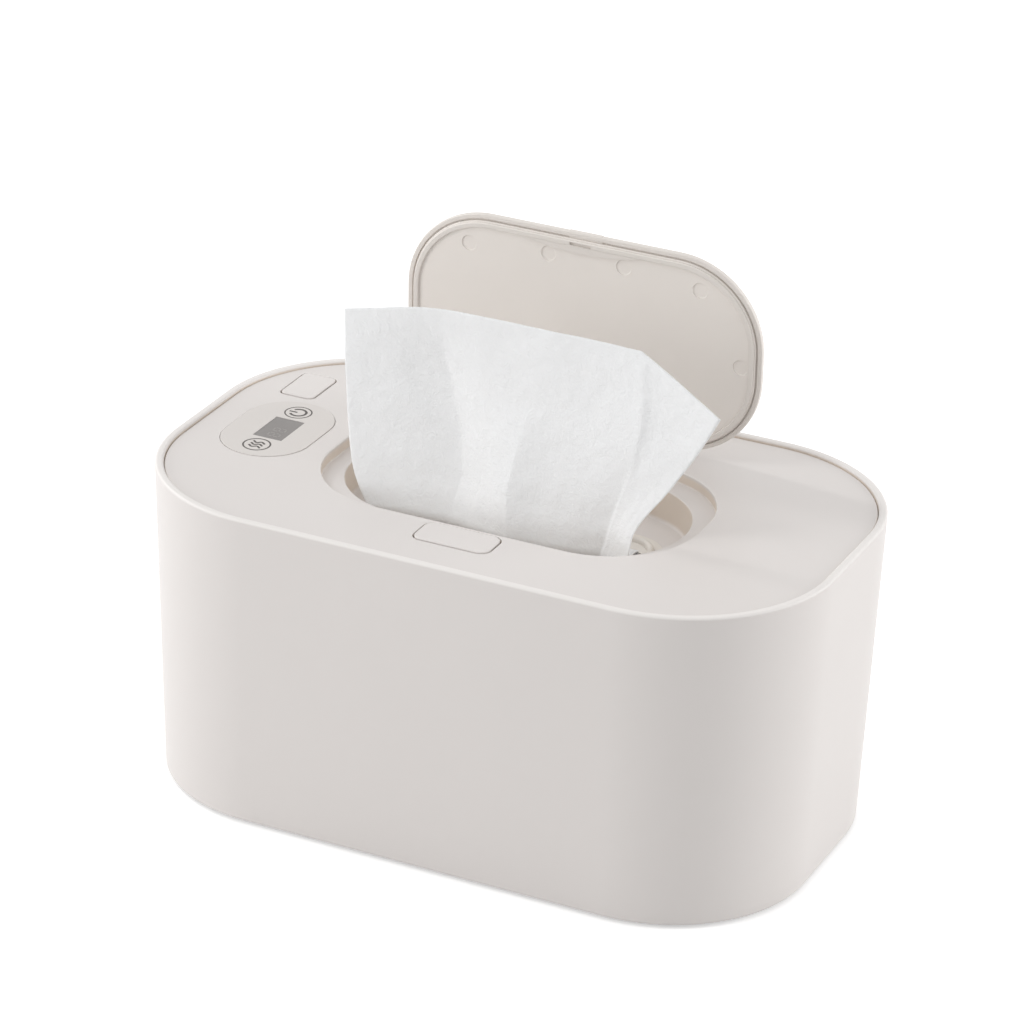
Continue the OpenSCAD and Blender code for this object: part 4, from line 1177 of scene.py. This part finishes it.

# %% [markdown]
# ## The wipe
#
# The wipe is one thin sheet of nonwoven cloth. It comes up from the tank, is gathered by the slot,
# slumps forward over the slot's soft lip and then stands up, leaning back, with soft folds and a
# corner that turns along a crease. A cloth simulation would let it collapse, because a damp wipe
# stands by its own stiffness. So the sheet is a smooth surface through a net of points, the same
# net as in the CAD source, and folds and fine wrinkles are laid over it.

# %% The net: points across the sheet, row by row upwards
CREASE = 0.82
SLOT_Z = 85
TAIL_Z = 52
TOP_Z = 147.5
NET_ACROSS = [0, 0.27, 0.55, CREASE]
NET = [
    (0, [(-38.8, -2.3, 85), (-16.1, -1.6, 85), (7.3, -2.5, 85), (30, -1.6, 85), (38.4, -2.3, 85)]),
    (0.07, [(-38.4, -8, 86.8), (-15.5, -7.5, 86.8), (7.3, -8.2, 86.8), (31, -7.6, 86.8),
            (39.6, -8, 86.8)]),
    (0.15, [(-37.6, -16.6, 87), (-14.6, -14.6, 86.9), (7.4, -16.6, 86.9), (32.8, -15, 86.9),
            (41.8, -15.4, 87.1)]),
    (0.2, [(-38.5, -19.6, 90), (-14.2, -16.6, 90.6), (7.4, -19.4, 90.6), (34, -17.4, 90.6),
           (43, -17, 91)]),
    (0.32, [(-43.9, -17, 97.6), (-13.4, -12.4, 101), (5.6, -16.4, 101), (36.4, -16.4, 102),
            (44.4, -15.2, 100)]),
    (0.48, [(-48.3, -12.4, 109.6), (-16.4, -8.4, 112), (5.9, -12, 112), (40, -13, 116),
            (51.6, -13.8, 111)]),
    (0.7, [(-51.4, -8.8, 125.4), (-22, -4.6, 127), (7.4, -7.8, 127), (41, -8.4, 132),
           (59.4, -12.4, 124)]),
    (1, [(-53.3, -6, TOP_Z - 6.2), (-25.4, -4.2, TOP_Z - 1.1), (8.9, -5.2, TOP_Z),
         (38.2, -5.2, TOP_Z), (65, -12, TOP_Z - 12.5)]),
]
NET_UP = [row[0] for row in NET]
print("net:", len(NET), "rows of", len(NET[0][1]))

# %% Smooth curves through the net
def curve(places, values, x):
    """The smooth curve through values at places (the last axis of values runs along them)."""
    values = np.asarray(values, float)
    slopes = [(values[min(k + 1, len(places) - 1)] - values[max(k - 1, 0)])
              / (places[min(k + 1, len(places) - 1)] - places[max(k - 1, 0)])
              for k in range(len(places))]
    k = max(i for i in range(len(places) - 1) if i == 0 or x >= places[i])
    width = places[k + 1] - places[k]
    s = (x - places[k]) / width
    return ((2 * s ** 3 - 3 * s ** 2 + 1) * values[k]
            + (s ** 3 - 2 * s ** 2 + s) * width * slopes[k]
            + (3 * s ** 2 - 2 * s ** 3) * values[k + 1]
            + (s ** 3 - s ** 2) * width * slopes[k + 1])


def smooth_sheet(u, column_points):
    """A point across one row of the net: a curve up to the crease and straight beyond it."""
    if u < CREASE:
        return curve(NET_ACROSS, column_points[:4], u)
    share = (u - CREASE) / (1 - CREASE)
    return column_points[3] * (1 - share) + column_points[4] * share

# %% Folds over the net
def hump(u, at, left, right, power):
    """1 at a place across the sheet, falling off over its own width on each side. A power of 2
    is a soft wave and a power of 1 is a crisp line."""
    return math.exp(-(abs(u - at) / (left if u < at else right)) ** power)


# place across, width on the left, width on the right, power, {height: depth in mm};
# back is positive
FOLDS = [
    (0.275, 0.13, 0.055, 1.3, {0: 0.8, 0.15: 0.6, 0.2: 1.0, 0.3: 2.0, 0.5: 2.3, 0.7: 2.0,
                               0.85: 1.1, 1: 0.2}),
    (0.54, 0.11, 0.06, 1.15, {0: -0.5, 0.15: -0.8, 0.3: -1.8, 0.5: -1.8, 0.6: -1.0, 0.68: -0.2,
                              1: 0}),
    (0.63, 0.06, 0.09, 2, {0: 0.4, 0.15: 0.3, 0.3: 0.9, 0.5: 0.7, 0.62: 0.3, 0.7: 0, 1: 0}),
    (0.815, 0.07, 0.25, 1.1, {0: 0.6, 0.15: 0.9, 0.3: 1.7, 0.42: 1.0, 0.55: 0, 0.8: 0, 1: 0}),
    (0.816, 0.05, 0.006, 1, {0: 0.3, 0.15: 0.4, 0.3: 0.5, 0.45: 0.35, 0.55: 0, 1: 0}),
    (0.82, 0.05, 0.02, 1.2, {0: 0, 0.15: 0, 0.3: -0.2, 0.45: -0.7, 0.7: -1.2, 0.9: -0.7, 1: -0.2}),
    (0.13, 0.05, 0.06, 2, {0: 0, 0.15: 0, 0.3: -0.3, 0.5: -0.4, 0.75: -0.5, 0.9: -0.2, 1: 0}),
    (0.40, 0.06, 0.08, 2, {0: 0, 0.15: 0, 0.3: -0.3, 0.5: -0.4, 0.8: -0.3, 1: 0}),
]
# how far the outer edge of the flap beyond the crease comes forward, in mm
FLAP = {0: 0, 0.15: 3.0, 0.3: 4.6, 0.45: 2.4, 0.6: 0.4, 1: 0}
print("folds in the sheet:", len(FOLDS))

# %% Wrinkles, and how far the cloth lies behind the net
def ripple(u, h, per_sheet, seed):
    """A wrinkle, -1 to 1, of so many waves over the sheet. It is finer across than up."""
    return noise.noise(Vector((u * per_sheet, h * per_sheet * 0.55, seed)))


def at_height(plan, h):
    """The value of a plan {height: value} at a height, straight between its heights."""
    return float(np.interp(h, list(plan), list(plan.values())))


def sheet_offset(u, h):
    """How far the cloth lies behind the net, in mm. Below the slot, where h is negative, the
    folds stay as they are in the slot."""
    g = max(0, h)
    depth = sum(hump(u, at, left, right, power) * at_height(plan, g)
                for at, left, right, power, plan in FOLDS)
    depth -= at_height(FLAP, g) * max(0, u - CREASE) / (1 - CREASE)
    depth -= 1.4 * math.exp(-((g - 0.165) / 0.035) ** 2)
    calm = 1 if h > 0.12 else 0.35
    depth += calm * (0.5 * ripple(u, h, 6, 3.7) + 0.25 * ripple(u, h, 14, 8.1))
    return depth + 0.1 * ripple(u, h, 40, 1.3)

# %% Build the sheet
COLUMNS = 180
LEVELS = ([-1 + k / 24 for k in range(24)] + [0.2 * k / 36 for k in range(36)]
          + [0.2 + 0.8 * k / 90 for k in range(91)])
grid = []
for h in LEVELS:
    row = [curve(NET_UP, [line[1][c] for line in NET], max(0, h)) for c in range(5)]
    drop = min(0, h) * (SLOT_Z - TAIL_Z)
    points = [smooth_sheet(i / COLUMNS, row) for i in range(COLUMNS + 1)]
    grid.append([(p[0], p[1] + sheet_offset(i / COLUMNS, h), p[2] + drop)
                 for i, p in enumerate(points)])
across = COLUMNS + 1
faces = [(r * across + c, r * across + c + 1, (r + 1) * across + c + 1, (r + 1) * across + c)
         for r in range(len(LEVELS) - 1) for c in range(COLUMNS)]
wipe = new_piece("wipe_sheet", [p for row in grid for p in row], faces)
points = np.array(grid)
widths = np.linalg.norm(np.diff(points, axis=1), axis=2).sum(axis=1)
lengths = np.linalg.norm(np.diff(points, axis=0), axis=2).sum(axis=0)
print("sheet in mm: width in the slot", round(widths[24]), "at the top", round(widths[-1]),
      "length", round(lengths[COLUMNS // 2]))

# %% Give the sheet its thickness, its finish and its body
thick = wipe.modifiers.new("cloth", "SOLIDIFY")
thick.thickness = 0.35 * MM
thick.offset = 0
settle(wipe)
wipe.data.shade_smooth()
wipe.data.materials.clear()
wipe.data.materials.append(finishes["wipe_cloth"])
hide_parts("wipe")
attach(wipe, "cover")
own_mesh(wipe)
